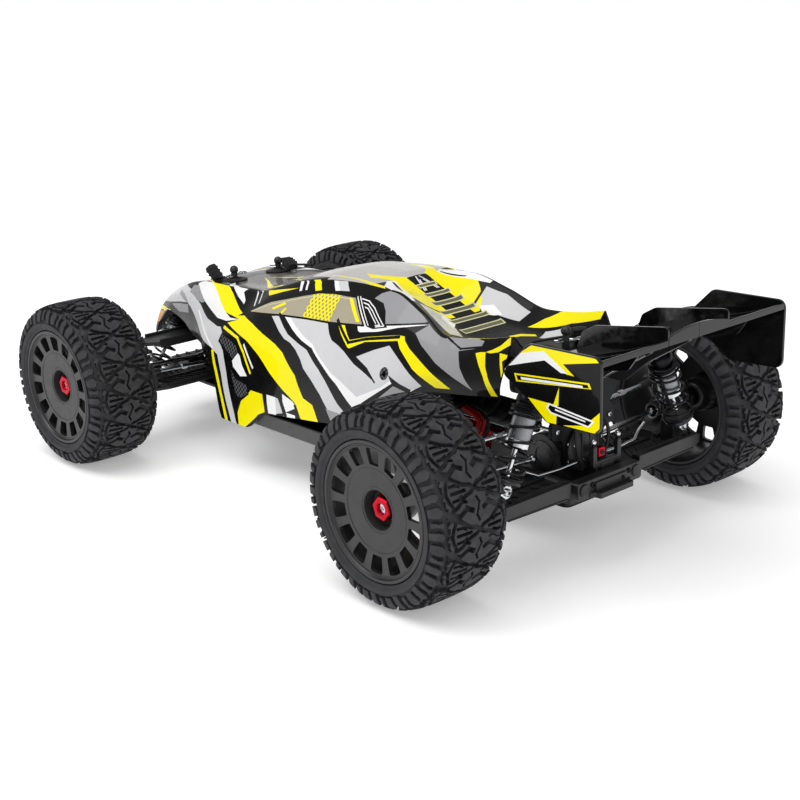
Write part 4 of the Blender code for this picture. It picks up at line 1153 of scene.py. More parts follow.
def around_axle(layer, copies):
    """The layer repeated by turns about the X axis."""
    turned = []
    for k in range(copies):
        angle = 2 * pi * k / copies
        turn = np.array(((1, 0, 0), (0, cos(angle), -sin(angle)), (0, sin(angle), cos(angle))))
        turned.append(Layer(layer.points @ turn.T, layer.normals @ turn.T, layer.triangles, layer.colours))
    return joined(turned)


def spun(line, angle):
    """(x, radius) points, each turned about the X axis by its own angle."""
    return np.stack([line[:, 0], line[:, 1] * np.sin(angle), line[:, 1] * np.cos(angle)], axis=1)


def tyre_layers():
    half = PITCH / 2
    across = [-44, -41, -38, -35, -32, -29, -25, -20, -14, -7, 0, 7, 14, 20, 25, 29, 32, 35, 38, 41, 44]
    outlines = tread_grooves()
    places, triangles = cut_grid(np.linspace(-half, half, 9), across, outlines)
    middles = places[triangles].mean(axis=1)
    keep = (np.abs(middles[:, 0]) < half) & (np.abs(middles[:, 1]) < TREAD_EDGE)
    triangles, middles = triangles[keep], middles[keep]
    sunk = np.zeros(len(triangles), bool)
    for outline in outlines:
        sunk |= inside(middles, outline)

    def lift(spots, raised):
        line, normal = profile_at(spots[:, 1])
        if not raised:
            line = line - normal * groove_depth(spots[:, 1])[:, None]
        angle = spots[:, 0] / TYRE_PROFILE[0][1]
        return spun(line, angle), spun(normal, angle)

    layers = []
    for number, layer in enumerate(relief(places, triangles, ~sunk, lift)):
        layer = around_axle(layer, PITCHES)
        layers.append(oriented(layer) if number < 2 else layer)
    return layers


def turned_layer(profile, sides, colour):
    """A surface of revolution about the X axis from (x, radius) points, outward on the left."""
    line = np.array(profile, float)
    ahead = np.gradient(line, axis=0)
    normal = np.stack([-ahead[:, 1], ahead[:, 0]], axis=1)
    normal /= np.maximum(np.linalg.norm(normal, axis=1), 1e-9)[:, None]
    points, normals, triangles = [], [], []
    for k in range(sides):
        angle = 2 * pi * k / sides
        for (x, r), (nx, nr) in zip(line, normal):
            points.append((x, r * sin(angle), r * cos(angle)))
            normals.append((nx, nr * sin(angle), nr * cos(angle)))
    count = len(line)
    for k in range(sides):
        for i in range(count - 1):
            a, b = k * count + i, ((k + 1) % sides) * count + i
            triangles += [(a, b, a + 1), (a + 1, b, b + 1)]
    made = Layer(np.array(points), np.array(normals), np.array(triangles), np.full(len(triangles), colour))
    return oriented(made)


def wheel_mesh(name, layer, looks, mirrored):
    """A mesh about its own origin, from a layer in mm for the left side."""
    if mirrored:
        layer = layer.mirrored()
    return layer_mesh(name, layer, (layer.points * MM).tolist(), looks)


def sidewalls():
    """Both sidewalls, from the edge of the tread to the bead and round to the inner face."""
    start = profile_at(np.array([TREAD_EDGE]))[0][0]
    outer = [tuple(start), (34.0, 59.6), (33.9, 58.2), (33.5, 56.6)]
    bead = [(33.2, 55.9), (32.5, 55.5), (32.3, 54.9), (32.3, 54.2), (31.8, 53.2), (30.8, 52.9)]
    inner = [(28.5, 53.0), (28.0, 54), (29, 58), (26, 64), (20, 69), (0, 70)]
    half = outer + bead + inner
    return [turned_layer(half, 96, 1), turned_layer([(-x, r) for x, r in half][::-1], 96, 1)]


def disc_x(radius):
    """How far out the face of the wheel's disc is at a radius."""
    return 26 + (radius - HUB_RADIUS) * 3.6 / 33.2


def rim_sector():
    """One window's share of the wheel's disc, in (along the ring, radius)."""
    width = 2 * pi * RING_RADIUS / WINDOWS
    rows = [HUB_RADIUS, 18, 22, 27, 31, 34, 37, 40, 43, 46.4, 48.4]
    window = [(-4.1, 34), (-4.7, 34.7), (-5.2, 37), (-5.9, 41), (-6.3, 45.2), (-5.7, 46.3),
              (-4.9, 46.6), (0, 46.8), (4.9, 46.6), (5.7, 46.3), (6.3, 45.2), (5.9, 41),
              (5.2, 37), (4.7, 34.7), (4.1, 34), (0, 33.8)]
    flat = [(x * RING_RADIUS / r, r) for x, r in window]
    places, triangles = cut_grid(np.linspace(-width / 2, width / 2, 9), rows, [flat])
    middles = places[triangles].mean(axis=1)
    open_part = inside(middles, flat)

    def face(spots, thickness):
        line = np.stack([disc_x(spots[:, 1]) - thickness, spots[:, 1]], axis=1)
        return spun(line, spots[:, 0] / RING_RADIUS)

    slope = np.array((1.0, 0, 0))
    normals = np.tile(slope, (len(places), 1))
    kept = triangles[~open_part]
    front = oriented(Layer(face(places, 0), normals, kept, np.zeros(len(kept), int)))
    back = oriented(Layer(face(places, DISC_WALL), -normals, kept, np.zeros(len(kept), int)))
    walls = relief(
        places, triangles, ~open_part, lambda spots, top: (face(spots, 0 if top else DISC_WALL), normals)
    )[2]
    walls.colours[:] = 0
    return [around_axle(layer, WINDOWS) for layer in (front, back, walls)]


def rim_layers():
    lip = [(29.6, 48.4), (29.9, 49.0), (30.6, 49.4), (31.4, 49.6), (31.8, 50.2), (31.8, 51.6),
           (31.4, 52.3), (30.4, 52.6)]
    barrel = [(26.4, 48.4), (25, 47.8), (0, 46.5), (-24, 47.5), (-30.5, 49.6), (-31, 50.5),
              (-31, 52.6), (-28, 52.8), (-20, 51), (20, 51), (28, 52.6)]
    # The hub's centre recess is turned in the dark stand-in colour: painted shade in the hollow
    recess = [(26, 15.2), (25.8, 14.7), (25.2, 14.4), (18.2, 13.6), (17.4, 13.0), (17.2, 12.0),
              (17.2, 0.01)]
    back_hub = [(22.8, 15.2), (20, 16.5), (8, 15), (-1, 13), (-1, 8)]
    profiles = ((lip, 84, 0), (barrel, 84, 0), (recess, 48, 1), (back_hub, 36, 0))
    turned = [turned_layer(*each) for each in profiles]
    return rim_sector() + turned + [rim_rib(radius) for radius in (17.0, 31.2, 47.6)]


def rim_rib(radius):
    """A thin raised ring on the disc, as the mould leaves."""
    x = disc_x(radius)
    line = [(x - 0.1, radius - 0.55), (x + 0.22, radius - 0.3), (x + 0.3, radius), (x + 0.22, radius + 0.3),
            (x - 0.1, radius + 0.55)]
    return turned_layer(line, 72, 0)


def wheels():
    tyre = joined(tyre_layers() + sidewalls())
    rim = joined(rim_layers())
    for side_name, side in SIDES.items():
        flipped = side < 0
        tyre_mesh = wheel_mesh(f"tyre_{side_name}", tyre, ["tread", "rubber"], flipped)
        rim_mesh = wheel_mesh(f"rim_{side_name}", rim, ["rim", "shadow"], flipped)
        for end in ENDS:
            at = TO_WORLD @ Vector((side * WHEEL_X, AXLE_Y[end], AXLE_Z))
            for kind, mesh, slot in (("tyre", tyre_mesh, "tyre_rubber"), ("rim", rim_mesh, "rim_plastic")):
                made = bpy.data.objects.new(f"{end}_{side_name}_moulded_{kind}", mesh)
                made.location = at
                bpy.context.scene.collection.objects.link(made)
                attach(made, f"{end}_{side_name}_wheel")
                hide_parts(f"{end}_{side_name}_{kind}")


def axle(piece, end):
    """The stub axle with its cup, wheel hex and red wheel nut, for the left side."""
    y, z = AXLE_Y[end], AXLE_Z
    out = (1, 0, 0)
    base = (0, y, z)
    cup = [(111.2, 5.2), (111.2, 6.8), (119.5, 6.8), (121.4, 5), (123, 4), (186, 4)]
    tip = [(186.4, 3.6), (186.4, 1.5), (185.6, 1.3), (185.6, 0)]
    piece.lathe([*cup, *tip], base, out, "steel")
    # A dark plug of painted shade fills the cup's bore
    piece.lathe([(111.2, 5.2), (118, 5.2), (118, 0)], base, out, "shadow")
    hexagon = [(152, 0), (152, 8.2), (152.6, 8.6), (163, 8.6), (163.6, 8.2), (163.6, 0)]
    piece.lathe(hexagon, base, out, "dark_metal", 6)
    nut = [(182.2, 9.9), (182.4, 10.2), (183.4, 10.2), (183.8, 9.8)]
    piece.lathe([(182.2, 4.1), *nut, (183.9, 9.2)], base, out, "red", 40)
    body = [(183.6, 9.4), (187.6, 9.4), (188.4, 8.6), (188.4, 6.0)]
    piece.lathe(body, base, out, "red", 6, 0.35)
    crown = [(188.4, 6.6), (188.5, 6.2), (188.5, 4.7), (188.2, 4.3), (185.6, 4.2)]
    piece.lathe(crown, base, out, "red", 36)
    # Twelve small dark discs of painted shade mark the serrations of the nut's crown
    for k in range(12):
        angle = 2 * pi * k / 12
        tooth = Vector((188.42, y + 5.4 * sin(angle), z + 5.4 * cos(angle)))
        piece.rod(tooth, tooth + Vector((0.14, 0, 0)), 0.5, "shadow", 8, 0)


def axles():
    for end in ENDS:
        both_sides(
            f"{end}_SIDE_stub_axle", lambda piece, end=end: axle(piece, end),
            f"{end}_SIDE_wheel", "bright_steel", [f"{end}_SIDE_axle"],
        )


wheels()
axles()

# ---------------------------------------------------------------- suspension

LOWER_PIVOT_Z = {"front": 54, "rear": 57}
LOWER_OUTER_X = 114
UPPER_PIVOT, UPPER_OUTER = (30, 97), (112, 101)
DRIVE_Z = 71
SHAFT_PIVOT, SHAFT_OUTER = (34, DRIVE_Z), (116, 75)
SHOCK_TOP = {"front": (30, 114), "rear": (70, 145)}
SHOCK_FOOT = {"front": (70, 58), "rear": (103, 74)}
SHOCK_Y = {"front": -252, "rear": 254}
SHOCK_RADIUS = {"front": 7.6, "rear": 9.2}
SHOCK_BOTTOM = {"front": 42, "rear": 49}


def rounded(outline, radius, count=4):
    """The outline with each corner rounded off."""
    result = []
    for i, corner in enumerate(outline):
        before, after = Vector(outline[i - 1]), Vector(outline[(i + 1) % len(outline)])
        here = Vector(corner)
        one = here + (before - here).normalized() * min(radius, (before - here).length * 0.45)
        two = here + (after - here).normalized() * min(radius, (after - here).length * 0.45)
        for k in range(count + 1):
            t = k / count
            result.append(tuple(one * (1 - t) ** 2 + here * 2 * t * (1 - t) + two * t * t))
    return result


def front_lower_arm(piece):
    """A wide flat moulded arm with raised ribs and a herringbone of cross ribs."""
    y0, z = AXLE_Y["front"], LOWER_PIVOT_Z["front"]
    plate = [(30, y0 - 22), (90, y0 - 22), (108, y0 - 17), (113, y0 - 17), (113, y0 - 11.5), (94, y0 - 11.5),
             (90, y0 - 7), (90, y0 + 7), (94, y0 + 11.5), (113, y0 + 11.5), (113, y0 + 17),
             (108, y0 + 17), (90, y0 + 22), (30, y0 + 22)]
    piece.prism(rounded(plate, 2), "z", z - 0.8, z + 2.6, "arm", 0.7)
    for y in (y0 - 21, y0 + 19):
        piece.box((34, y, z - 1), (91, y + 2.2, z + 5), "arm", 0.7)
    for k in range(8):
        x = 38 + k * 6.4
        for turn in (1, -1):
            piece.box(
                (x, y0 + turn * 10 - 8.5, z + 1.5), (x + 1.7, y0 + turn * 10 + 8.5, z + 4.2), "arm", 0.4,
                Matrix.Rotation(turn * radians(24), 4, "Z"),
            )
    piece.box((34, y0 - 1.2, z), (90, y0 + 1.2, z + 4.8), "arm", 0.5)
    piece.rod((32, y0 - 23, z), (32, y0 + 25, z), 5, "arm", 24, 0.8)
    arm_ends(piece, y0, z, 11, 17.5)
    foot_x, foot_z = SHOCK_FOOT["front"]
    piece.rod((foot_x, y0 - 23, foot_z), (foot_x, y0 - 29.5, foot_z), 2.6, "arm", 16)
    piece.rod((foot_x, y0 - 26, foot_z), (foot_x, y0 - 39.4, foot_z), 1.7, "steel", 14)


def arm_ends(piece, y0, z, near, far):
    """The two outer eyes of a lower arm, with the hinge pin's ends."""
    for turn in (1, -1):
        one, two = y0 + turn * near, y0 + turn * far
        piece.rod((LOWER_OUTER_X, one, z + 4), (LOWER_OUTER_X, two, z + 4), 4.4, "arm", 22, 0.6)
        piece.prism([(97, z - 0.5), (112, z + 0.2), (114, z + 7.6), (97, z + 4.8)], "y",
                    min(one, two), max(one, two), "arm", 0.6)
        piece.screw((LOWER_OUTER_X, two, z + 4), (0, turn, 0), 2.2)


def rear_lower_arm(piece):
    """The rear arm: a ribbed plate and the deep beam behind it that carries the shock."""
    y0, z = AXLE_Y["rear"], LOWER_PIVOT_Z["rear"]
    plate = [(30, y0 - 15.5), (92, y0 - 15.5), (108, y0 - 16.5), (113, y0 - 16.5), (113, y0 - 11.5),
             (96, y0 - 11.5), (92, y0 - 7), (92, y0 + 7), (96, y0 + 12.5), (113, y0 + 12.5),
             (113, y0 + 36.5), (30, y0 + 36.5)]
    piece.prism(rounded(plate, 1.6), "z", z - 0.8, z + 1.6, "arm", 0.6)
    for y in (y0 - 15.4, y0 - 1, y0 + 13):
        piece.box((34, y, z - 0.8), (91, y + 2, z + 3.8), "arm", 0.6)
    for k in range(5):
        x = 38 + k * 11
        for middle, turn in ((y0 - 7.5, 1), (y0 + 7, -1)):
            piece.box((x, middle - 7, z + 1), (x + 3.2, middle + 7, z + 3.2), "arm_soft", 0.7,
                      Matrix.Rotation(turn * radians(34), 4, "Z"))
    for k in range(6):
        x = 38 + k * 12
        piece.box((x, y0 + 17.5, z + 1), (x + 3.4, y0 + 34, z + 3.0), "arm_soft", 0.7,
                  Matrix.Rotation(radians(30), 4, "Z"))
    piece.rod((32, y0 - 17.8, z), (32, y0 + 38, z), 5, "arm", 24, 0.8)
    beam = [(39.5, z - 4.3), (44, z - 4.3), (110, z - 2.5), (116.5, z + 0.5), (116.5, z + 7.5),
            (114, z + 8.4), (39.5, z + 8.4)]
    piece.prism(rounded(beam, 1.5), "y", y0 + 37.5, y0 + 45.6, "arm_soft", 0.9)
    piece.box((41, y0 + 36.4, z + 5.2), (115, y0 + 38.4, z + 8.2), "arm", 0.5)
    piece.box((42, y0 + 39.4, z + 8.2), (112, y0 + 40.8, z + 8.9), "arm", 0.3)
    lower_edge = [(44, z - 4.6), (108, z - 2.9), (108, z - 1.9), (44, z - 3.4)]
    piece.prism(lower_edge, "y", y0 + 38, y0 + 46.4, "arm", 0.3)
    arm_ends(piece, y0, z, 11, 17)
    foot_x, foot_z = SHOCK_FOOT["rear"]
    tab = [(foot_x - 6, z + 1), (foot_x - 6, foot_z + 1), (foot_x - 3, foot_z + 3.4),
           (foot_x + 2.5, foot_z + 3.4), (foot_x + 5, foot_z + 1), (foot_x + 5, z + 1)]
    piece.prism(tab, "y", y0 + 20, y0 + 25, "arm", 0.6)
    piece.rod((foot_x, y0 + 24, foot_z), (foot_x, y0 + 41.3, foot_z), 1.7, "steel", 14)
    piece.screw((foot_x, y0 + 40.6, foot_z), (0, 1, 0), 3)
    for x in (101, 108):
        piece.screw((x, y0 + 41, z + 8.6), (0, 0, 1), 1.5, "dark_metal")


def upper_arm(piece, end):
    """The front upper arm, or the rear camber link: a turnbuckle between two ball cups."""
    y0 = AXLE_Y[end]
    one, two = (Vector((x, y0, z)) for x, z in (UPPER_PIVOT, UPPER_OUTER))
    across = Vector((0, 1, 0))
    along = (two - one).normalized()
    if end == "front":
        low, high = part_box("front_left_upper_arm")
        wide = (high.y - low.y) / MM / 2 - 0.3
        outline = [(34, y0 - wide), (92, y0 - wide + 2), (104, y0 - 5.4), (110, y0 - 5.4), (110, y0 + 5.4),
                   (104, y0 + 5.4), (92, y0 + wide - 2), (34, y0 + wide)]
        piece.prism(rounded(outline, 2), "z", 94.8, 98.6, "arm_soft", 0.8)
        for y in (y0 - wide + 1.6, y0 + wide - 1.6):
            piece.box((36, y - 1.6, 92.4), (91, y + 1.6, 101), "arm", 0.8)
        piece.rod(one - across * wide, one + across * wide, 4, "arm", 20, 0.6)
        piece.rod(two - across * 6, two + across * 6, 3.9, "arm", 20, 0.6)
        return
    piece.rod(one + along * 8, two - along * 8, 2.0, "steel", 16)
    piece.rod(one + along * 38, one + along * 44, 3.0, "steel", 6, 0.3)
    for point, turn in ((one, 1), (two, -1)):
        piece.rod(point + along * 2 * turn, point + along * 17 * turn, 3.3, "arm", 16, 0.8, 2.7)
        piece.rod(point - across * 3.2, point + across * 3.2, 4.8, "arm", 20, 0.9)
        piece.screw(point + across * 3.2, across, 2.2)


def drive_shaft(piece, end):
    y0 = AXLE_Y[end]
    one, two = Vector((SHAFT_PIVOT[0], y0, SHAFT_PIVOT[1])), Vector((SHAFT_OUTER[0], y0, SHAFT_OUTER[1]))
    along = (two - one).normalized()
    piece.rod(one, two, 2.1, "steel", 18)
    for point, turn in ((one, 1), (two, -1)):
        piece.ball(point, 4.0, "steel")
        piece.lathe([(2, 0), (2, 3), (6, 3), (8, 2.2), (10, 2.0), (10, 0)], point, along * turn, "steel", 20)


def shock_line(end):
    """A left shock's upper eye, its lower eye and the direction between them."""
    x, z = SHOCK_TOP[end]
    top = Vector((x, SHOCK_Y[end], z))
    foot = Vector((SHOCK_FOOT[end][0], SHOCK_Y[end], SHOCK_FOOT[end][1]))
    return top, foot, (foot - top).normalized()


def shock_body(piece, end):
    """The aluminium body with its cone cap, adjuster ring, bleeder screw and end nut."""
    top, _, down = shock_line(end)
    wide, bottom = SHOCK_RADIUS[end], SHOCK_BOTTOM[end] - 2.2
    body_look = "dark_metal"
    piece.lathe([(3.2, 0), (3.2, 5.2), (4.2, 6.2), (6.8, wide - 0.6), (8.6, wide + 0.5), (11.8, wide + 0.8),
                 (12.6, wide + 0.4), (13.2, wide - 0.4), (15, wide - 0.4)], top, down, body_look, 36)
    collar = [(15, wide - 0.4), (15.4, wide + 1.9), (15.9, wide + 2.4), (17, wide + 2.4), (17.4, wide + 1.8),
              (17.9, wide + 1.8), (18.3, wide + 2.5), (20.1, wide + 2.5), (20.5, wide + 2.1), (20.5, wide)]
    piece.lathe(collar, top, down, body_look, 36)
    for k in range(18):
        angle = 2 * pi * k / 18
        side = down.orthogonal().normalized()
        other = down.cross(side)
        spot = top + down * 16.4 + (side * cos(angle) + other * sin(angle)) * (wide + 2.2)
        piece.rod(spot - down * 0.8, spot + down * 0.8, 0.55, body_look, 8, 0)
    piece.lathe([(20.5, wide - 0.2), (22, wide - 0.5), (bottom - 7.5, wide - 0.5), (bottom - 7.2, wide - 0.9),
                 (bottom - 6.8, wide - 0.9)], top, down, "grey_metal", 36)
    band = [(bottom - 6.8, wide - 0.9), (bottom - 6.6, wide), (bottom - 1.8, wide),
            (bottom - 1.2, wide - 0.6)]
    piece.lathe(band, top, down, "chrome", 36)
    end_cap = [(bottom - 1.2, wide - 0.6), (bottom - 0.4, wide - 1.6), (bottom, 3.4), (bottom, 0)]
    piece.lathe(end_cap, top, down, body_look, 36)
    across = Vector((0, 1, 0))
    piece.rod(top - across * 4, top + across * 4, 5, body_look, 28, 0.7)
    piece.rod(top - across * 4.15, top + across * 4.15, 2.9, "chrome", 20, 0)


def shock_shaft(piece, end):
    top, foot, down = shock_line(end)
    length = (foot - top).length
    wide = SHOCK_RADIUS[end]
    piece.rod(top + down * (SHOCK_BOTTOM[end] - 8), foot - down * 5, 1.8, "chrome", 20)
    perch = [(length - 9.6, 0), (length - 9.6, wide - 1.5), (length - 8.8, wide - 1.2),
             (length - 8.6, wide + 1.9), (length - 7.8, wide + 2.3), (length - 6.2, wide + 2.2),
             (length - 5.4, wide + 0.6), (length - 4.6, 4.6), (length - 4, 3.6), (length - 4, 0)]
    piece.lathe(perch, top, down, "arm_soft", 36)
    across = Vector((0, 1, 0))
    eye = [(-4, 3.1), (-4, 5.0), (-3.4, 5.6), (3.4, 5.6), (4, 5.0), (4, 3.1), (3.4, 2.9), (-3.4, 2.9),
           (-4, 3.1)]
    piece.lathe(eye, foot, across, "chrome" if end == "rear" else "arm_soft", 28)
    piece.ball(foot, 2.95, "chrome", 8, 16)


COIL_WIRE = {"front": 0.15, "rear": 0.112}  # in shock radii


def shock_spring(end, side_name, side):
    """The coil, as a mesh between the shock's body and its shaft."""
    top, foot, down = shock_line(end)
    length = (foot - top).length
    wide = SHOCK_RADIUS[end]
    wire = COIL_WIRE[end] * wide
    first, last = 20.7 + wire, length - 8.8 - wire
    turns = 5.6
    side_axis = down.orthogonal().normalized()
    other = down.cross(side_axis)
    points = []
    count = int(turns * 22)
    for i in range(count + 1):
        turn = turns * i / count
        share = np.interp(turn, (0, 0.85, turns - 0.85, turns), (0, 0.022, 0.978, 1))
        angle = 2 * pi * turn
        spot = top + down * (first + (last - first) * share)
        points.append(spot + (side_axis * cos(angle) + other * sin(angle)) * 1.27 * wide)
    piece = Piece(f"{end}_{side_name}_coil_spring")
    piece.tube(points, wire, "wire", 8)
    if side < 0:
        piece.mirror_x()
    mesh = piece.mesh()
    made = show(piece.name, mesh, None, [f"{end}_{side_name}_shock_spring"], weighted=False)
    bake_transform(made)


def hub_carrier(piece, end):
    """The hub carrier: bearing housing, arms to the pivots, webs and pins."""
    y0, z = AXLE_Y[end], AXLE_Z
    if end == "rear":
        ring = [(122.6, 5.6), (122.6, 11.8), (123.4, 12.4), (135, 12.4), (135.8, 11.6), (135.8, 6.2)]
        piece.lathe(ring, (0, y0, z), (1, 0, 0), "arm", 40)
        piece.lathe([(135.9, 9.4), (136.0, 6)], (0, y0, z), (1, 0, 0), "chrome", 32)
        piece.lathe([(122.4, 9.4), (122.5, 6)], (0, y0, z), (1, 0, 0), "chrome", 32)
        low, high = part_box("rear_left_hub_carrier")
        block = [(110.5, 57), (118, 57), (124, 66), (124, 70), (119, 70), (113, 65), (109.8, 64)]
        piece.prism(rounded(block, 1.2), "y", y0 - 10.4, y0 + 10.4, "arm", 0.8)
        upper = [(109, 96.8), (108.4, 103.5), (112, 105.2), (118, 103), (127, 87), (127, 81), (121.5, 83),
                 (116, 93)]
        for turn in (1, -1):
            near, far = sorted((y0 + turn * 4.2, y0 + turn * 8.2))
            piece.prism(rounded(upper, 1), "y", near, far, "arm", 0.6)
        piece.screw((112, y0 + 8.2, 101), (0, 1, 0), 2.3)
        piece.screw((112, y0 - 8.2, 101), (0, -1, 0), 2.3)
        return
    low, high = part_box("front_left_hub_carrier")
    half = (high.y - low.y) / MM / 2
    lower = [(109.8, 53.6), (118, 53.6), (121, 56), (121, 62), (110, 62)]
    piece.prism(rounded(lower, 1), "y", y0 - 10.4, y0 + 10.4, "arm", 0.8)
    for turn in (1, -1):
        near, far = sorted((y0 + turn * (half - 4.2), y0 + turn * (half - 0.2)))
        web = [(108.2, 58), (112, 56), (112.6, 72), (112.6, 90), (113.5, 104), (108.6, 104), (107.6, 90),
               (107.6, 70)]
        piece.prism(rounded(web, 1), "y", near, far, "arm", 0.7)
    piece.prism(rounded([(97.5, y0 - half + 0.3), (120.5, y0 - half + 4), (120.5, y0 + half - 4),
                         (97.5, y0 + half - 0.3)], 2), "z", 87.7, 90.8, "arm", 0.6)
    piece.screw((116, y0, 91), (0, 0, 1), 3)


def steering_knuckle(piece):
    y0, z = AXLE_Y["front"], AXLE_Z
    ring = [(122.6, 5.6), (122.6, 11.8), (123.4, 12.4), (135, 12.4), (135.8, 11.6), (135.8, 6.2)]
    piece.lathe(ring, (0, y0, z), (1, 0, 0), "arm", 40)
    piece.lathe([(135.9, 9.4), (136.0, 6)], (0, y0, z), (1, 0, 0), "chrome", 32)
    for low, high in ((63.2, 66.8), (83, 87)):
        tongue = [(111.5, y0 - 5), (126, y0 - 9), (126, y0 + 9), (111.5, y0 + 5)]
        piece.prism(rounded(tongue, 2.5), "z", low, high, "arm", 0.6)
    arm = [(118, y0 + 4), (125, y0 + 4), (120.5, y0 + 24), (119.5, y0 + 29), (113, y0 + 29.5), (112, y0 + 24)]
    piece.prism(rounded(arm, 2), "z", 64.8, 68.8, "arm", 0.6)
    piece.screw((116, y0 + 26, 68.9), (0, 0, 1), 2.4)


def tie_rod(piece):
    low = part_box("tie_rod_left")[0]
    y = AXLE_Y["front"] + 26
    one = Vector((low.x / MM + 5, y, 72))
    two = Vector((116, y, 76))
    along = (two - one).normalized()
    up = Vector((0, 0, 1))
    piece.rod(one + along * 6, two - along * 6, 1.9, "steel", 16)
    middle = (one + two) / 2
    piece.rod(middle - along * 3, middle + along * 3, 2.8, "steel", 6, 0.3)
    for point, turn in ((one, 1), (two, -1)):
        piece.rod(point + along * 2 * turn, point + along * 14 * turn, 3, "arm", 16, 0.8, 2.4)
        piece.rod(point - up * 2.6, point + up * 2.6, 4.4, "arm", 20, 0.9)
        piece.screw(point + up * 2.6, up, 2)


def suspension():
    for side_name, side in SIDES.items():
        for end in ENDS:
            shock_spring(end, side_name, side)
    for end, build in (("front", front_lower_arm), ("rear", rear_lower_arm)):
        both_sides(f"{end}_SIDE_ribbed_arm", build, f"{end}_SIDE_arm", "arm_plastic",
                   [f"{end}_SIDE_lower_arm"])
    both_sides("front_SIDE_knuckle_block", steering_knuckle, "front_SIDE_knuckle", "arm_plastic",
               ["front_SIDE_steering_knuckle"])
    both_sides("SIDE_steering_link", tie_rod, "tie_rod_SIDE", "bright_steel", ["tie_rod_SIDE"])
    upper_nodes = {"front": "front_SIDE_upper_arm", "rear": "rear_SIDE_camber_link"}
    for end in ENDS:
        def build(function, end=end):
            return lambda piece: function(piece, end)

        both_sides(f"{end}_SIDE_upper_bar", build(upper_arm), f"{end}_SIDE_upper_link", "arm_plastic",
                   [upper_nodes[end]])
        both_sides(f"{end}_SIDE_dogbone", build(drive_shaft), f"{end}_SIDE_drive_shaft", "bright_steel",
                   [f"{end}_SIDE_drive_shaft"])
        both_sides(f"{end}_SIDE_damper", build(shock_body), f"{end}_SIDE_shock", "shock_metal",
                   [f"{end}_SIDE_shock_body"])
        both_sides(f"{end}_SIDE_damper_rod", build(shock_shaft), f"{end}_SIDE_shock_rod", "bright_steel",
                   [f"{end}_SIDE_shock_shaft"])
        both_sides(f"{end}_SIDE_carrier_block", build(hub_carrier), f"{end}_SIDE_hub_carrier", "arm_plastic",
                   [f"{end}_SIDE_hub_carrier"])


suspension()

# ---------------------------------------------------------------- rear wing

WING_PLATE = [(257, 163), (260, 169), (281, 189.5), (342, 191), (346, 187), (346, 142), (342, 138),
              (298, 136), (279, 150)]
WING_PLATE_X = (102.5, 105)
FIN_X = 34

# The sticker on the outside of each wing plate, in (y, z)
WING_ART = [
    ("yellow", [(273, 181), (285, 189.4), (342, 190.2), (345, 188), (313, 181), (323, 174.5), (316, 174.5),
                (295.5, 187), (275, 181)]),
    ("white", [(260.6, 168.6), (272.5, 181), (295.5, 187), (317, 175), (311, 174.5), (296.5, 180.5),
               (278, 175), (262, 170)]),
    ("yellow", [(309.5, 164), (304.5, 151), (309, 151)]),
    ("yellow", [(281, 151), (308, 151), (307, 137.4), (299, 137), (291, 143)]),
    ("yellow", [(313, 138), (332, 142), (345.4, 154), (345.4, 143), (341, 138.6)]),
    ("white", [(300, 151.2), (341, 147), (336, 141.4), (302, 144), (298, 147.4)]),
    ("black", [(301, 149.9), (338.4, 146), (335.4, 142.6), (302.6, 145.2), (299.8, 147.4)]),
    ("white", [(306, 148.2), (333, 145.6), (333, 144.6), (306, 147)]),
    ("yellow", [(268, 166), (336, 172.4), (338, 168.6), (270, 160.4)]),
    ("black", [(270, 165), (334.6, 171), (336, 168.8), (271.4, 161.6)]),
    ("white", [(274, 164.4), (330, 169.6), (331, 168), (275, 162.6)]),
]


def sticker(piece):
    """The wing plate's film, cut up so that no two colours lie on top of each other."""
    border = rounded([(258.5, 163.6), (261, 168.6), (281.6, 188.7), (341.6, 190.2), (345.3, 186.6),
                      (345.3, 142.4), (341.6, 138.7), (298.4, 136.8), (279.6, 150.8)], 1.6, 3)
    columns = np.array([p[0] for p in border])
    heights = np.array([p[1] for p in border])
    grid = [np.linspace(values.min() - 1, values.max() + 1, 5) for values in (columns, heights)]
    places, triangles = cut_grid(*grid, [border] + [shape for _, shape in WING_ART])
    middles = places[triangles].mean(axis=1)
    colour = np.zeros(len(triangles), int)
    names = ["black"]
    for look, shape in WING_ART:
        if look not in names:
            names.append(look)
        colour[inside(middles, shape)] = names.index(look)
    keep = inside(middles, border)
    points = [(WING_PLATE_X[1] + 0.1, y, z) for y, z in places]
    for number, look in enumerate(names):
        piece.take_oriented(sheet(points, triangles[keep & (colour == number)], 0), look)


def wing_plane(piece, half_from, half_to, lift, look="wing"):
    """A strip of the wing's main plane between two x, with a thin curved section."""
    under = [(262, 164.6), (275, 166.0), (290, 168.0), (305, 171.2), (320, 175.2), (333, 179.8), (345, 184.9)]
    top = [(y, z + 2.2 + lift * (y - 262) / 83) for y, z in under]
    piece.prism(under + top[::-1], "x", half_from, half_to, look, 0.4)


LIP_BOW = 4.2  # how much taller the trailing lip is on the centre line


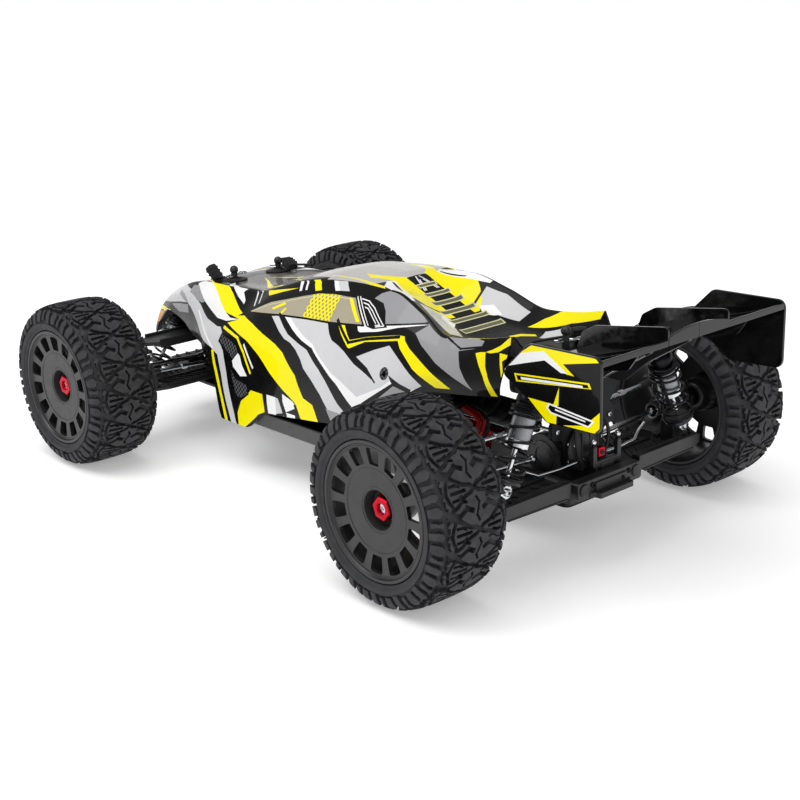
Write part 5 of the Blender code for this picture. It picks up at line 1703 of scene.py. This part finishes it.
def rear_wing():
    piece = Piece("wing")
    for side in (1, -1):
        low, high = sorted(side * x for x in WING_PLATE_X)
        piece.prism(rounded(WING_PLATE, 3.4, 5), "x", low, high, "wing", 0.5)
        wing_plane(piece, *sorted((side * FIN_X, side * 103)), 0)
        fin = [(262, 164), (268, 181), (280, 188), (306, 192), (343, 197.6), (345.4, 195.8), (345.4, 185),
               (320, 175), (295, 169)]
        piece.prism(rounded(fin, 2, 3), "x", side * FIN_X - 0.9, side * FIN_X + 0.9, "wing", 0.35)
        for x in (side * 56, side * 80):
            rib = [(268, 167), (300, 171.5), (330, 180.6), (343, 186.6), (343, 188.6), (330, 184), (300, 175),
                   (270, 169.6)]
            piece.prism(rib, "x", x - 0.5, x + 0.5, "wing", 0.2)
        under = [(277, 163), (300, 163.6), (334, 171.5), (343, 184), (332, 180), (300, 170.5), (277, 167)]
        piece.prism(rounded(under, 2, 3), "x", side * 62 - 0.8, side * 62 + 0.8, "wing", 0.3)
        lip = sorted((side * FIN_X, side * 103))
        piece.box((lip[0], 343.4, 184.2), (lip[1], 345.6, 188.6), "wing", 0.5)
    wing_plane(piece, -FIN_X, FIN_X, 1.4)
    lip = [(-FIN_X, 184.4), (FIN_X, 184.4)]
    for k in range(25):
        x = FIN_X - 2 * FIN_X * k / 24
        lip.append((x, 190.4 + LIP_BOW * (1 - (x / FIN_X) ** 2)))
    piece.prism(lip, "y", 343.4, 345.8, "wing", 0.4)
    piece.box((-0.5, 345.4, 184.6), (0.5, 346.0, 194.2), "wing", 0.2)
    for side in (1, -1):
        strut = [(241.4, 130), (262, 130), (285, 150), (322, 172.5), (322, 176.5), (300, 170.6), (270, 165.6),
                 (241.4, 147)]
        piece.prism(rounded(strut, 2, 3), "x", side * 22 - 2, side * 22 + 2, "arm_soft", 0.7)
        for y, z in ((262, 142), (278, 154), (294, 163)):
            piece.rod((side * 22 - 2.3, y, z), (side * 22 + 2.3, y, z), 3.4, "arm", 18, 0.5)
        piece.tube([(side * 24.4, 244, 131), (side * 24.4, 262, 131.5), (side * 24.4, 286, 151),
                    (side * 24.4, 318, 171)], 0.7, "steel", 8)
        for y, z in ((247, 136), (247, 143)):
            piece.screw((side * 24, y, z), (side, 0, 0), 1.8, "dark_metal")
        piece.screw((side * 22, 300, 173.6), (0, 0, 1), 2.6)
        piece.screw((side * 22, 284, 170.6), (0, 0, 1), 2.6)
    piece.finish("chassis", "wing_plastic", ["rear_wing"])
    for side_name in SIDES:
        film = Piece(f"wing_sticker_{side_name}")
        sticker(film)
        if side_name == "right":
            film.mirror_x()
        film.finish("chassis", "shell_paint")


# ---------------------------------------------------------------- chassis and drive line


def mirrored(half):
    """An outline closed by its own mirror image."""
    return half + [(-x, other) for x, other in reversed(half)]


def chassis_plate():
    piece = Piece("chassis_tub")
    half = [(34, -262), (36, -180), (58, -120), (60, -60), (60, 90), (40, 150), (36, 256)]
    piece.prism(rounded(mirrored(half), 6), "z", 41, 44, "plate", 0.5)
    for side in (1, -1):
        guard = [(56, 42), (80, 44), (85.5, 46.5), (89, 61.5), (87, 62), (82.5, 50), (78, 47.4), (56, 46)]
        piece.prism([(side * x, z) for x, z in rounded(guard, 1.2, 3)], "y", -104, 118, "arm_soft", 0.8)
        for k in range(12):
            y = -94 + k * 18
            rib = [(side * 60, 45), (side * 80, 47), (side * 85.5, 59), (side * 80, 56), (side * 72, 49)]
            piece.prism(rib, "y", y, y + 1.8, "arm", 0.4)
        for y in (-90, -20, 50, 104):
            piece.screw((side * 64, y, 41), (0, 0, -1), 3)
    for x, y in ((20, -250), (20, -190), (14, 230), (20, 180), (0, 60), (24, 20), (26, -60)):
        for side in (1, -1):
            piece.screw((side * x, y, 41), (0, 0, -1), 3)
    return piece


def front_bumper():
    piece = Piece("front_bumper_moulding")
    piece.box((-37, -262, 44.3), (37, -242.6, 61), "arm", 1.2)
    outline = [(-46, -262), (-50, -276), (-36, -287.5), (36, -287.5), (50, -276), (46, -262)]
    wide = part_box("front_bumper")[1].x / MM
    outline = [(x * wide / 50, y) for x, y in outline]
    piece.prism(rounded(outline, 6, 5), "z", 46.3, 55.6, "arm", 1.6)
    for x in (-24, -12, 0, 12, 24):
        piece.box((x - 1, -284, 55), (x + 1, -262, 57.5), "arm", 0.5)
    for side in (1, -1):
        cap = [(0, 0), (0, 4.6), (0.8, 4.2), (0.8, 0)]
        piece.lathe(cap, (side * 32, -262, 54), (0, -1, 0), "arm_soft", 24)
        piece.screw((side * 16, -262, 54), (0, -1, 0), 2.4)
    return piece


def rear_bumper():
    """The pin holder block across the back, with its two round covers and the lip."""
    piece = Piece("rear_bumper_moulding")
    block = [(-37, 51), (-35, 49.4), (35, 49.4), (37, 51), (37, 62), (35, 63.8), (-35, 63.8), (-37, 62)]
    piece.prism(block, "y", 258.3, 267.8, "arm_soft", 0.9)
    for side in (1, -1):
        cover = [(0, 0), (0, 4.9), (0.7, 5.0), (1.3, 4.6), (1.4, 3.9), (1.4, 0)]
        piece.lathe(cover, (side * 30, 267.8, 57.4), (0, 1, 0), "arm", 32)
        piece.screw((side * 21, 267.8, 59.6), (0, 1, 0), 2.2, "dark_metal")
    lip = [(-24, 264), (-24, 269), (-20, 269.4), (-19, 275), (19, 275), (20, 269.4), (24, 269), (24, 264)]
    piece.prism(rounded(lip, 1.2, 3), "z", 49.3, 53.6, "arm", 0.9)
    piece.box((-18, 267, 53), (18, 269.4, 60.6), "arm", 0.7)
    piece.screw((-13, 269.4, 57), (0, 1, 0), 1.5, "dark_metal")
    front_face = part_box("rear_bumper")[0].y
    piece.box((-36, front_face / MM - ORIGIN_Y / MM + 0.2, 44.3), (36, 258.6, 49.6), "arm", 0.7)
    return piece


def gearbox(end):
    piece = Piece(f"{end}_gearbox_case")
    y0 = AXLE_Y[end]
    sign = -1 if end == "front" else 1
    case = [(-22, 44.4), (22, 44.4), (22, 72), (19, 79), (12, 82), (-12, 82), (-19, 79), (-22, 72)]
    piece.prism(rounded(case, 3, 4), "y", y0 - 17.8, y0 + 17.8, "arm", 1.6)
    piece.rod((-21.8, y0, DRIVE_Z), (21.8, y0, DRIVE_Z), 17.6, "arm", 40, 1.6)
    for side in (1, -1):
        flange = [(21.4, 0), (21.4, 12), (22.6, 11.6), (22.6, 7), (21.9, 7), (21.9, 0)]
        piece.lathe(flange, (0, y0, DRIVE_Z), (side, 0, 0), "arm_soft", 32)
        for k in range(4):
            angle = pi / 4 + k * pi / 2
            piece.screw((side * 20.5, y0 + 14.4 * cos(angle), DRIVE_Z + 9.4 * sin(angle)), (side, 0, 0), 1.7)
        for y in (y0 - 14, y0 + 14):
            piece.rod((side * 18.4, y, 45), (side * 18.4, y, 78), 3.4, "arm", 16, 0.8)
    piece.rod((0, y0 - sign * 17.6, DRIVE_Z), (0, y0 - sign * 19.8, DRIVE_Z), 8.6, "arm_soft", 28)
    piece.box((-9, y0 - 14, 81.4), (9, y0 + 14, 82.6), "arm", 0.5)
    return piece


def tower(end):
    piece = Piece(f"{end}_shock_tower_plate")
    sign = -1 if end == "front" else 1
    y0 = AXLE_Y[end]
    near, far = sorted((y0 + sign * 18.4, y0 + sign * 22.6))
    if end == "front":
        half = [(20, 60), (24, 86), (36, 91), (36, 103), (28, 106), (39, 113), (36, 122)]
    else:
        half = [(20, 66), (24, 88), (36, 91), (36, 103), (30, 108), (56, 132), (77, 139), (78, 150),
                (66, 153), (34, 146), (22, 154)]
    piece.prism(rounded(mirrored(half), 3, 4), "y", near + 0.1, far - 0.1, "plate", 0.5)
    face = far if sign > 0 else near
    top_x, top_z = SHOCK_TOP[end]
    holes = {
        "front": [(12, 70), (12, 98), (16, 112)],
        "rear": [(12, 78), (14, 104), (40, 128), (52, 138), (12, 136)],
    }
    for side in (1, -1):
        # The holes are not cut: thin dark discs of painted shade stand for them
        for x, z in holes[end]:
            piece.rod((side * x, face - 0.1, z), (side * x, face + sign * 0.12, z), 2.4, "shadow", 16, 0)
        for x, z in ((17, 84), (17, 70)):
            piece.screw((side * x, face, z), (0, sign, 0), 2.1)
        one = Vector((side * top_x, y0 + sign * 19.4, top_z))
        two = Vector((side * top_x, SHOCK_Y[end] + sign * 4.6, top_z))
        piece.rod(one, two, 2, "steel", 16)
        sleeve_end = (side * top_x, SHOCK_Y[end] - sign * 4.4, top_z)
        piece.rod((side * top_x, face, top_z), sleeve_end, 3.4, "dark_metal", 20)
        nut = (side * top_x, SHOCK_Y[end] + sign * 4.4, top_z)
        piece.rod(nut, Vector(nut) + Vector((0, sign * 2.4, 0)), 3.2, "steel", 6, 0.3)
        pin_x, pin_z = side * UPPER_PIVOT[0], UPPER_PIVOT[1]
        piece.rod((pin_x, face, pin_z), (pin_x, y0 - sign * 12, pin_z), 1.6, "steel", 14)
        piece.screw((side * UPPER_PIVOT[0], face, UPPER_PIVOT[1]), (0, sign, 0), 2.2)
    if end == "rear":
        gearbox_cover(piece)
        piece.box((-6, 218, 98), (6, 239, 106), "arm", 1)
        piece.rod((0, 222, 105), (0, 222, 158), 3.0, "arm", 20, 0.4)
        piece.rod((0, 222, 158), (0, 222, 164), 3.0, "arm", 20, 0.8, 2.4)
        sway_bar_and_mount(piece)
    return piece


def gearbox_cover(piece):
    """The rounded rear cover of the gearbox, with its hoses."""
    dome = [(240, 0), (240, 19.6), (242.4, 20), (244, 19), (246.2, 15), (247.2, 9), (247.4, 0)]
    piece.lathe(dome, (0, 0, 78), (0, 1, 0), "arm", 44)
    for k in range(5):
        angle = radians(20 + 70 * k)
        piece.screw((16.6 * cos(angle), 245, 78 + 16.6 * sin(angle)), (0, 1, 0), 1.7)
    for x in (-9, 0, 9):
        piece.box((x - 0.9, 242, 62), (x + 0.9, 247.8, 92), "arm", 0.6)
    for side in (1, -1):
        hose = [(side * 12, 243, 104), (side * 17, 247, 98), (side * 18.6, 249.4, 88), (side * 17, 249.6, 78),
                (side * 13, 249, 71)]
        piece.tube(smooth_path(hose), 1.5, "tab_rubber", 10)


def smooth_path(points, count=6):
    """A rounded path through points."""
    points = [Vector(p) for p in points]
    padded = [2 * points[0] - points[1], *points, 2 * points[-1] - points[-2]]
    result = []
    for a, b, c, d in zip(padded, padded[1:], padded[2:], padded[3:]):
        for k in range(count):
            t = k / count
            result.append(
                0.5 * (2 * b + (c - a) * t + (2 * a - 5 * b + 4 * c - d) * t * t
                       + (3 * b - a - 3 * c + d) * t**3)
            )
    return [*result, points[-1]]


BRACKET_AT = (-9, 255, 7)  # its middle in x and in y, and how far its outline is raised


def sway_bar_and_mount(piece):
    """The grey U-bracket with its red clamp, and the sway bar that wraps round the gearbox."""
    for side in (1, -1):
        points = [(side * 8, 247, 71), (side * 36, 247, 70.4), (side * 56, 244.6, 70.4), (side * 66, 241, 75),
                  (side * 74, 240, 79)]
        piece.tube(points, 1.15, "steel", 12)
    bracket = [(-15, 58), (15, 58), (16.4, 59.6), (16.4, 74), (14, 76), (11.8, 75), (11.8, 63.4),
               (-11.8, 63.4), (-11.8, 75), (-14, 76), (-16.4, 74), (-16.4, 59.6)]
    middle_x, y, lift = BRACKET_AT
    piece.prism([(x + middle_x, z + lift) for x, z in bracket], "y", y - 2, y + 2, "arm_soft", 0.6)
    piece.box((middle_x - 7.6, y - 1.6, 54 + lift), (middle_x + 7.6, y + 2.6, 60.6 + lift), "arm_soft", 0.6)
    piece.box((middle_x + 4, y - 3, 66.4 + lift), (middle_x + 11.4, y + 3, 74.4 + lift), "red", 1.2)
    bolt_x, bolt_z = middle_x + 7.7, 70.4 + lift
    # A thin dark disc of painted shade stands for the clamp bolt's socket
    piece.rod((bolt_x, y + 2.8, bolt_z), (bolt_x, y + 3.4, bolt_z), 2.2, "shadow", 18, 0)
    for x in (middle_x - 14.2, middle_x + 14.2):
        piece.rod((x, y, 74 + lift), (x, y, 78 + lift), 1.3, "dark_metal", 12, 0.2)
        piece.ball((x, y, 79 + lift), 2.3, "chrome", 8, 14)


def motor():
    piece = Piece("motor_can_detailed")
    low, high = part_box("motor")
    centre = (low + high) / 2 / MM
    x, z = centre.x, centre.z
    start = 80.2
    can = [(0, 0), (0, 18.6), (0.8, 19.8), (5.6, 20.1), (6, 19.5), (6.4, 19.5), (6.8, 20.1), (60, 20.1),
           (60.4, 19.5), (61, 19.5), (61.4, 20.1), (70.8, 20.1), (71.6, 19.2), (71.6, 0)]
    piece.lathe(can, (x, start, z), (0, 1, 0), "red", 48)
    piece.rod((x, 77.2, z), (x, 80.6, z), 6.8, "dark_metal", 24)
    for k in range(22):
        angle = 2 * pi * k / 22
        if sin(angle) < -0.75:
            continue
        fin = Vector((x + 20.0 * cos(angle), 0, z + 20.0 * sin(angle)))
        piece.rod(fin + Vector((0, start + 10, 0)), fin + Vector((0, start + 57, 0)), 0.75, "red", 8, 0.2)
    for k in range(3):
        offset = (k - 1) * 7
        piece.tube([(x + offset, 151.5, z + 6), (x + offset, 156, z + 8), (x + offset * 0.9, 160, z + 14),
                    (x + offset * 0.7 - 4, 158, z + 21), (x + offset * 0.6 - 8, 148, z + 24),
                    (x + offset * 0.5 - 12, 130, z + 25)], 1.7, "wire_red" if k else "wire_black", 10)
    return piece


def battery():
    piece = Piece("battery_case")
    piece.box((-56, -104, 44.4), (-10, 34, 82.2), "case", 2.4)
    piece.box((-56.3, -84, 52), (-55.9, 14, 75), "label", 0.1)
    piece.box((-50, -80, 82.1), (-16, 10, 82.4), "label", 0.1)
    for x in (-42, -24):
        piece.tube([(x, 33, 70), (x, 42, 71), (x + 2, 50, 76), (x + 8, 54, 84), (x + 16, 48, 90)], 2,
                   "wire_red" if x < -30 else "wire_black", 10)
    for y in (-70, 0):
        piece.box((-57, y - 8, 44.4), (-9, y + 8, 83.1), "tab_rubber", 1)
    return piece


def servo():
    piece = Piece("servo_case")
    piece.box((-50, -160, 44.4), (-8, -120, 74), "case", 1.4)
    piece.box((-50, -160, 74.4), (-8, -120, 80.2), "case", 1.4)
    # A dark band of painted shade fills the gap between the case and its lid
    piece.box((-49.6, -159.6, 73.6), (-8.4, -120.4, 74.8), "shadow", 0.1)
    piece.rod((-29, -150, 80), (-29, -150, 85.2), 4, "arm_soft", 24)
    piece.screw((-29, -150, 85.2), (0, 0, 1), 1.8)
    piece.box((-38, -152.4, 82.6), (-20, -147.6, 84.8), "arm_soft", 0.6)
    for x in (-47, -11):
        for y in (-157, -123):
            piece.screw((x, y, 80.2), (0, 0, 1), 1.5)
    return piece


def radio_box():
    piece = Piece("receiver_box")
    piece.box((8, -160, 44.4), (50, -112, 76), "arm", 2)
    piece.box((11, -157, 76), (47, -115, 81.2), "arm_soft", 1.6)
    for x in (14, 44):
        for y in (-154, -118):
            piece.screw((x, y, 81.2), (0, 0, 1), 1.7)
    piece.box((20, -148, 81), (38, -126, 81.5), "arm", 0.2)
    return piece


def toothed(piece, centre, y_range, teeth, module, look, phase=0.0):
    """A straight spur gear about an axis along Y."""
    root, tip = module * (teeth / 2 - 1.15), module * (teeth / 2 + 0.9)
    outline = []
    for k in range(teeth):
        for share, radius in ((-0.29, root), (-0.13, tip), (0.13, tip), (0.29, root)):
            angle = 2 * pi * (k + share + phase) / teeth
            outline.append((centre[0] + radius * cos(angle), centre[1] + radius * sin(angle)))
    piece.prism(outline, "y", *y_range, look, 0)


def centre_drive():
    piece = Piece("centre_drive")
    axis = (0, 1, 0)
    housing = [(42, 0), (42, 12), (43, 14.6), (46, 15), (66, 15), (66, 0)]
    piece.lathe(housing, (0, 0, DRIVE_Z), axis, "arm_soft", 40)
    piece.rod((0, -197, DRIVE_Z), (0, 197, DRIVE_Z), 3.4, "steel", 20)
    for y in (-190, 190):
        piece.rod((0, y - 5, DRIVE_Z), (0, y + 5, DRIVE_Z), 3.5, "dark_metal", 20)
    toothed(piece, (0, DRIVE_Z), (67.2, 72.8), 30, 1.5, "arm_soft")
    for k in range(6):
        angle = 2 * pi * k / 6
        piece.screw((11 * cos(angle), 72.8, DRIVE_Z + 11 * sin(angle)), axis, 1.5)
    piece.rod((0, 72.6, DRIVE_Z), (0, 75, DRIVE_Z), 7.8, "steel", 28)
    piece.finish("center_differential", "bright_steel", ["center_differential"])
    low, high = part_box("pinion_gear")
    centre = (low + high) / 2 / MM
    pinion = Piece("motor_pinion")
    to_motor = atan2(centre.z - DRIVE_Z, centre.x)
    spur_place, pinion_place = to_motor * 30 / (2 * pi), (to_motor + pi) * 10 / (2 * pi)
    phase = pinion_place + 0.5 + (spur_place - round(spur_place))
    toothed(pinion, (centre.x, centre.z), (66.2, 73.8), 10, 1.5, "steel", phase)
    pinion.rod((centre.x, 65.2, centre.z), (centre.x, 76.4, centre.z), 4, "steel", 24)
    pinion.finish("pinion_gear", "bright_steel", ["pinion_gear"])


def steering_rack():
    piece = Piece("steering_rack_bar")
    y = AXLE_Y["front"] + 26
    piece.box((-28.4, y - 2.9, 79.1), (28.4, y + 2.9, 83.9), "arm_soft", 0.9)
    for side in (1, -1):
        low, high = sorted((side * 22.2, side * 28.4))
        piece.box((low, y - 2.9, 69.2), (high, y + 2.9, 83), "arm_soft", 0.8)
        piece.screw((side * 25.3, y, 83.9), (0, 0, 1), 2)
    piece.finish("steering_rack", "arm_plastic", ["steering_rack"])


def front_posts(piece):
    """The two body posts that stand on the front tower, inside the radio tray."""
    for side in (1, -1):
        piece.rod((side * FRONT_POST[0], FRONT_POST[1], 44), (side * FRONT_POST[0], FRONT_POST[1], 159), 3,
                  "arm", 20, 0.5)
        low = (side * FRONT_POST[0] - 5, FRONT_POST[1] - 5, 43.8)
        high = (side * FRONT_POST[0] + 5, FRONT_POST[1] + 5, 50)
        piece.box(low, high, "arm", 1.2)


def body_details():
    rear_wing()
    chassis = chassis_plate()
    front_posts(chassis)
    chassis.finish("chassis", "chassis_metal", ["chassis_plate"])
    front_bumper().finish("chassis", "arm_plastic", ["front_bumper"])
    rear_bumper().finish("chassis", "arm_plastic", ["rear_bumper"])
    for end in ENDS:
        gearbox(end).finish("chassis", "arm_plastic", [f"{end}_gearbox"])
        tower(end).finish("chassis", "chassis_metal", [f"{end}_shock_tower"])
    motor().finish("chassis", "motor_can", ["motor"])
    battery().finish("chassis", "battery_case", ["battery_pack"])
    servo().finish("chassis", "battery_case", ["steering_servo"])
    radio_box().finish("chassis", "arm_plastic", ["radio_box"])
    centre_drive()
    steering_rack()


body_details()

# ---------------------------------------------------------------- body posts' clips and straps


def body_clip(piece, base, turn):
    """An R clip through a post's head: a straight leg and a bent leg that meet in a ring."""
    spin = Matrix.Rotation(turn, 3, "Z")
    base = Vector(base)

    def at(x, y, z=0.0):
        return base + spin @ Vector((x, y, z))

    loop = [at(14 + 3.6 * cos(radians(a)), 3.6 * sin(radians(a))) for a in range(-150, 151, 25)]
    straight = [at(-9, -0.4), at(0, -0.4), at(8, -1.2)]
    bent = [at(8, 1.6), at(4, 3.2, 0.3), at(0, 4.4, 0.4), at(-4, 3.4, 0.3), at(-7.5, 4.6, 0.3)]
    piece.tube(smooth_path(straight + loop + bent, 4), 0.75, "steel", 8)


def pull_tab(piece, centre, turn, tilt=0.35):
    """The moulded rubber handle on a clip's strap."""
    matrix = Matrix.Rotation(turn, 4, "Z") @ Matrix.Rotation(tilt, 4, "X")
    outline = rounded([(-5.2, -8), (5.2, -8), (5.2, 8), (-5.2, 8)], 2.6, 5)
    part = Piece("tab")
    part.prism(outline, "z", -3.4, 3.4, "tab_rubber", 1.2)
    for y in (-4, 0, 4):
        part.box((-5.6, y - 0.8, -3.9), (5.6, y + 0.8, 3.9), "tab_rubber", 0.5)
    part.rod((-5.8, 9.8, 0), (5.8, 9.8, 0), 2.2, "tab_rubber", 14, 0.6)
    bmesh.ops.transform(part.bm, matrix=Matrix.Translation(centre) @ matrix, verts=part.bm.verts)
    piece.take_oriented(part.bm, "tab_rubber")


def post_head(piece, x, y, z):
    """The ball-shaped top of a body post, above its clip."""
    piece.rod((x, y, z - 3.5), (x, y, z + 1.5), 2.6, "arm", 20, 0.5)
    piece.ball((x, y, z + 4.2), 4.0, "arm_soft", 12, 24)


def grommet(piece, x, y, z, tilt):
    """The rubber washer glued over a post hole, lying on the shell."""
    base = Vector((x, y, z))
    axis = Vector((0, sin(tilt), cos(tilt)))
    profile = [(-0.3, 4.7), (-0.3, 12.2), (0.5, 12.4), (1.1, 11.6), (1.3, 7), (2.2, 6.4), (2.4, 4.9),
               (-0.3, 4.7)]
    piece.lathe(profile, base, axis, "tab_rubber", 32)


def fittings():
    surface = ShellSurface()
    deck_row = surface.row_at(FRONT_POST[1])
    deck_z = float(np.interp(FRONT_POST[0], deck_row[: surface.crest, 0], deck_row[: surface.crest, 2]))
    front = Piece("front_body_clips")
    for side in (1, -1):
        x, y = side * FRONT_POST[0], FRONT_POST[1]
        grommet(front, x, y, deck_z + 0.3, radians(-4))
        if side > 0:
            body_clip(front, (x, y, deck_z + 4.6), radians(-160))
            strap = [(x + 3, y - 8, deck_z + 2.2), (x + 9, y - 13, deck_z + 3), (x + 11, y - 16, deck_z + 5)]
            tab, turn, tilt = (x + 10, y - 18, deck_z + 6.5), radians(20), -0.9
        else:
            body_clip(front, (x, y, deck_z + 4.6), radians(150))
            strap = [(x - 1, y + 48, deck_z + 12.5), (x, y + 40, deck_z + 12), (x, y + 30, deck_z + 10.5),
                     (x - 1, y + 24, deck_z + 10)]
            tab, turn, tilt = (x - 1, y + 17, deck_z + 9.4), radians(170), 0.25
        front.tube(smooth_path(strap), 1.1, "tab_rubber", 10)
        pull_tab(front, tab, turn, tilt)
    front.finish("shell", "arm_plastic")
    heads = Piece("front_post_heads")
    for side in (1, -1):
        post_head(heads, side * FRONT_POST[0], FRONT_POST[1], deck_z + 6)
    heads.finish("chassis", "arm_plastic")
    tail_tab()
    rear_head = Piece("rear_post_head")
    post_head(rear_head, 0, 222, 162.5)
    rear_head.finish("chassis", "arm_plastic")


def tail_tab():
    """The tab of the rear deck that reaches back round the rear post, with its clip and strap."""
    piece = Piece("rear_deck_tab")
    count = 24
    rim = [(-17, 214.5)]
    for k in range(count + 1):
        angle = radians(180 - 180 * k / count)
        rim.append((12 * cos(angle), 222 + 11 * sin(angle)))
    rim.append((17, 214.5))
    hole = circle(0, 222, POST_HOLE, 24)
    columns, rows = np.linspace(-18, 18, 10), np.linspace(213, 235, 7)
    places, triangles = cut_grid(columns, rows, [rim, hole])
    middles = places[triangles].mean(axis=1)
    keep = inside(middles, rim) & ~inside(middles, hole)
    tab = sheet([(x, y, 147.2) for x, y in places], triangles[keep], 2)
    bmesh.ops.solidify(tab, geom=list(tab.faces), thickness=1.4)
    piece.take(tab, "black")
    grommet(piece, 0, 222, 147.5, 0)
    body_clip(piece, (0, 222, 158.6), radians(165))
    strap = [(10, 219, 150.5), (16, 210, 151.6), (18, 200, 151.4), (10, 190, 150.6), (-4, 186, 150.4),
             (-16, 190, 151), (-22, 200, 153.4)]
    piece.tube(smooth_path(strap), 1.1, "tab_rubber", 10)
    pull_tab(piece, (-27, 208, 157), radians(-28), 0.5)
    piece.finish("shell", "arm_plastic")


fittings()

# ---------------------------------------------------------------- camera, floor and light

CAMERA_AT = (0.8076, 0.9138, 0.4581)
CAMERA_AZIMUTH = 138.43
CAMERA_ELEVATION = 17.69
CAMERA_ROLL = -1.87
LENS = 65.84


def aim_camera():
    azimuth, elevation, roll = (radians(a) for a in (CAMERA_AZIMUTH, CAMERA_ELEVATION, CAMERA_ROLL))
    back = Vector((sin(azimuth) * cos(elevation), -cos(azimuth) * cos(elevation), sin(elevation)))
    right = (-back).cross(Vector((0, 0, 1))).normalized()
    up = right.cross(-back)
    across = cos(roll) * right + sin(roll) * up
    above = -sin(roll) * right + cos(roll) * up
    data = bpy.data.cameras.new("camera")
    data.lens = LENS
    data.sensor_width = 36
    data.clip_start, data.clip_end = 0.01, 100
    camera = bpy.data.objects.new("camera", data)
    turn = Matrix((across, above, back)).transposed().to_4x4()
    camera.matrix_world = Matrix.Translation(CAMERA_AT) @ turn
    bpy.context.scene.collection.objects.link(camera)
    bpy.context.scene.camera = camera


def floor():
    mesh = bpy.data.meshes.new("floor")
    size = 30
    corners = [(-size, -size, 0), (size, -size, 0), (size, size, 0), (-size, size, 0)]
    mesh.from_pydata(corners, [], [(0, 1, 2, 3)])
    made = bpy.data.objects.new("floor", mesh)
    bpy.context.scene.collection.objects.link(made)
    look = Look("studio_floor", (0.9, 0.9, 0.9), 0.6, specular=0.2)
    look.vary_roughness(80, 0.04)
    look.set(look.shader, "Emission Color", (1, 1, 1, 1))
    look.set(look.shader, "Emission Strength", 0.3)
    mesh.materials.append(look.made)


def area_light(name, at, target, size, power, size_y=None):
    data = bpy.data.lights.new(name, "AREA")
    data.shape = "RECTANGLE"
    data.size, data.size_y = size, size_y or size
    data.energy = power
    light = bpy.data.objects.new(name, data)
    light.location = at
    light.rotation_euler = (Vector(target) - Vector(at)).to_track_quat("-Z", "Y").to_euler()
    bpy.context.scene.collection.objects.link(light)


def sun(name, direction, strength, spread):
    data = bpy.data.lights.new(name, "SUN")
    data.energy = strength
    data.angle = radians(spread)
    light = bpy.data.objects.new(name, data)
    light.rotation_euler = Vector(direction).to_track_quat("-Z", "Y").to_euler()
    bpy.context.scene.collection.objects.link(light)


def studio():
    world = bpy.data.worlds.new("studio")
    bpy.context.scene.world = world
    world.use_nodes = True
    nodes, links = world.node_tree.nodes, world.node_tree.links
    background = nodes["Background"]
    background.inputs["Color"].default_value = (1, 1, 1, 1)
    direction = nodes.new("ShaderNodeTexCoord")
    split = nodes.new("ShaderNodeSeparateXYZ")
    fade = nodes.new("ShaderNodeMapRange")
    links.new(direction.outputs["Generated"], split.inputs["Vector"])
    links.new(split.outputs["Z"], fade.inputs["Value"])
    fade.inputs["From Min"].default_value = 0.1
    fade.inputs["From Max"].default_value = 0.35
    fade.inputs["To Min"].default_value = 1.0
    fade.inputs["To Max"].default_value = 0.34
    links.new(fade.outputs["Result"], background.inputs["Strength"])
    sun("overhead", (-0.15, -0.1, -1), 1.35, 60)
    area_light("key", (0.9, -0.5, 1.5), (0, 0, 0.1), 1.0, 9)
    area_light("rear_fill", (0.7, 1.6, 1.3), (0, 0.1, 0.1), 0.8, 6)
    bpy.context.scene.view_settings.view_transform = "Standard"


aim_camera()
floor()
studio()
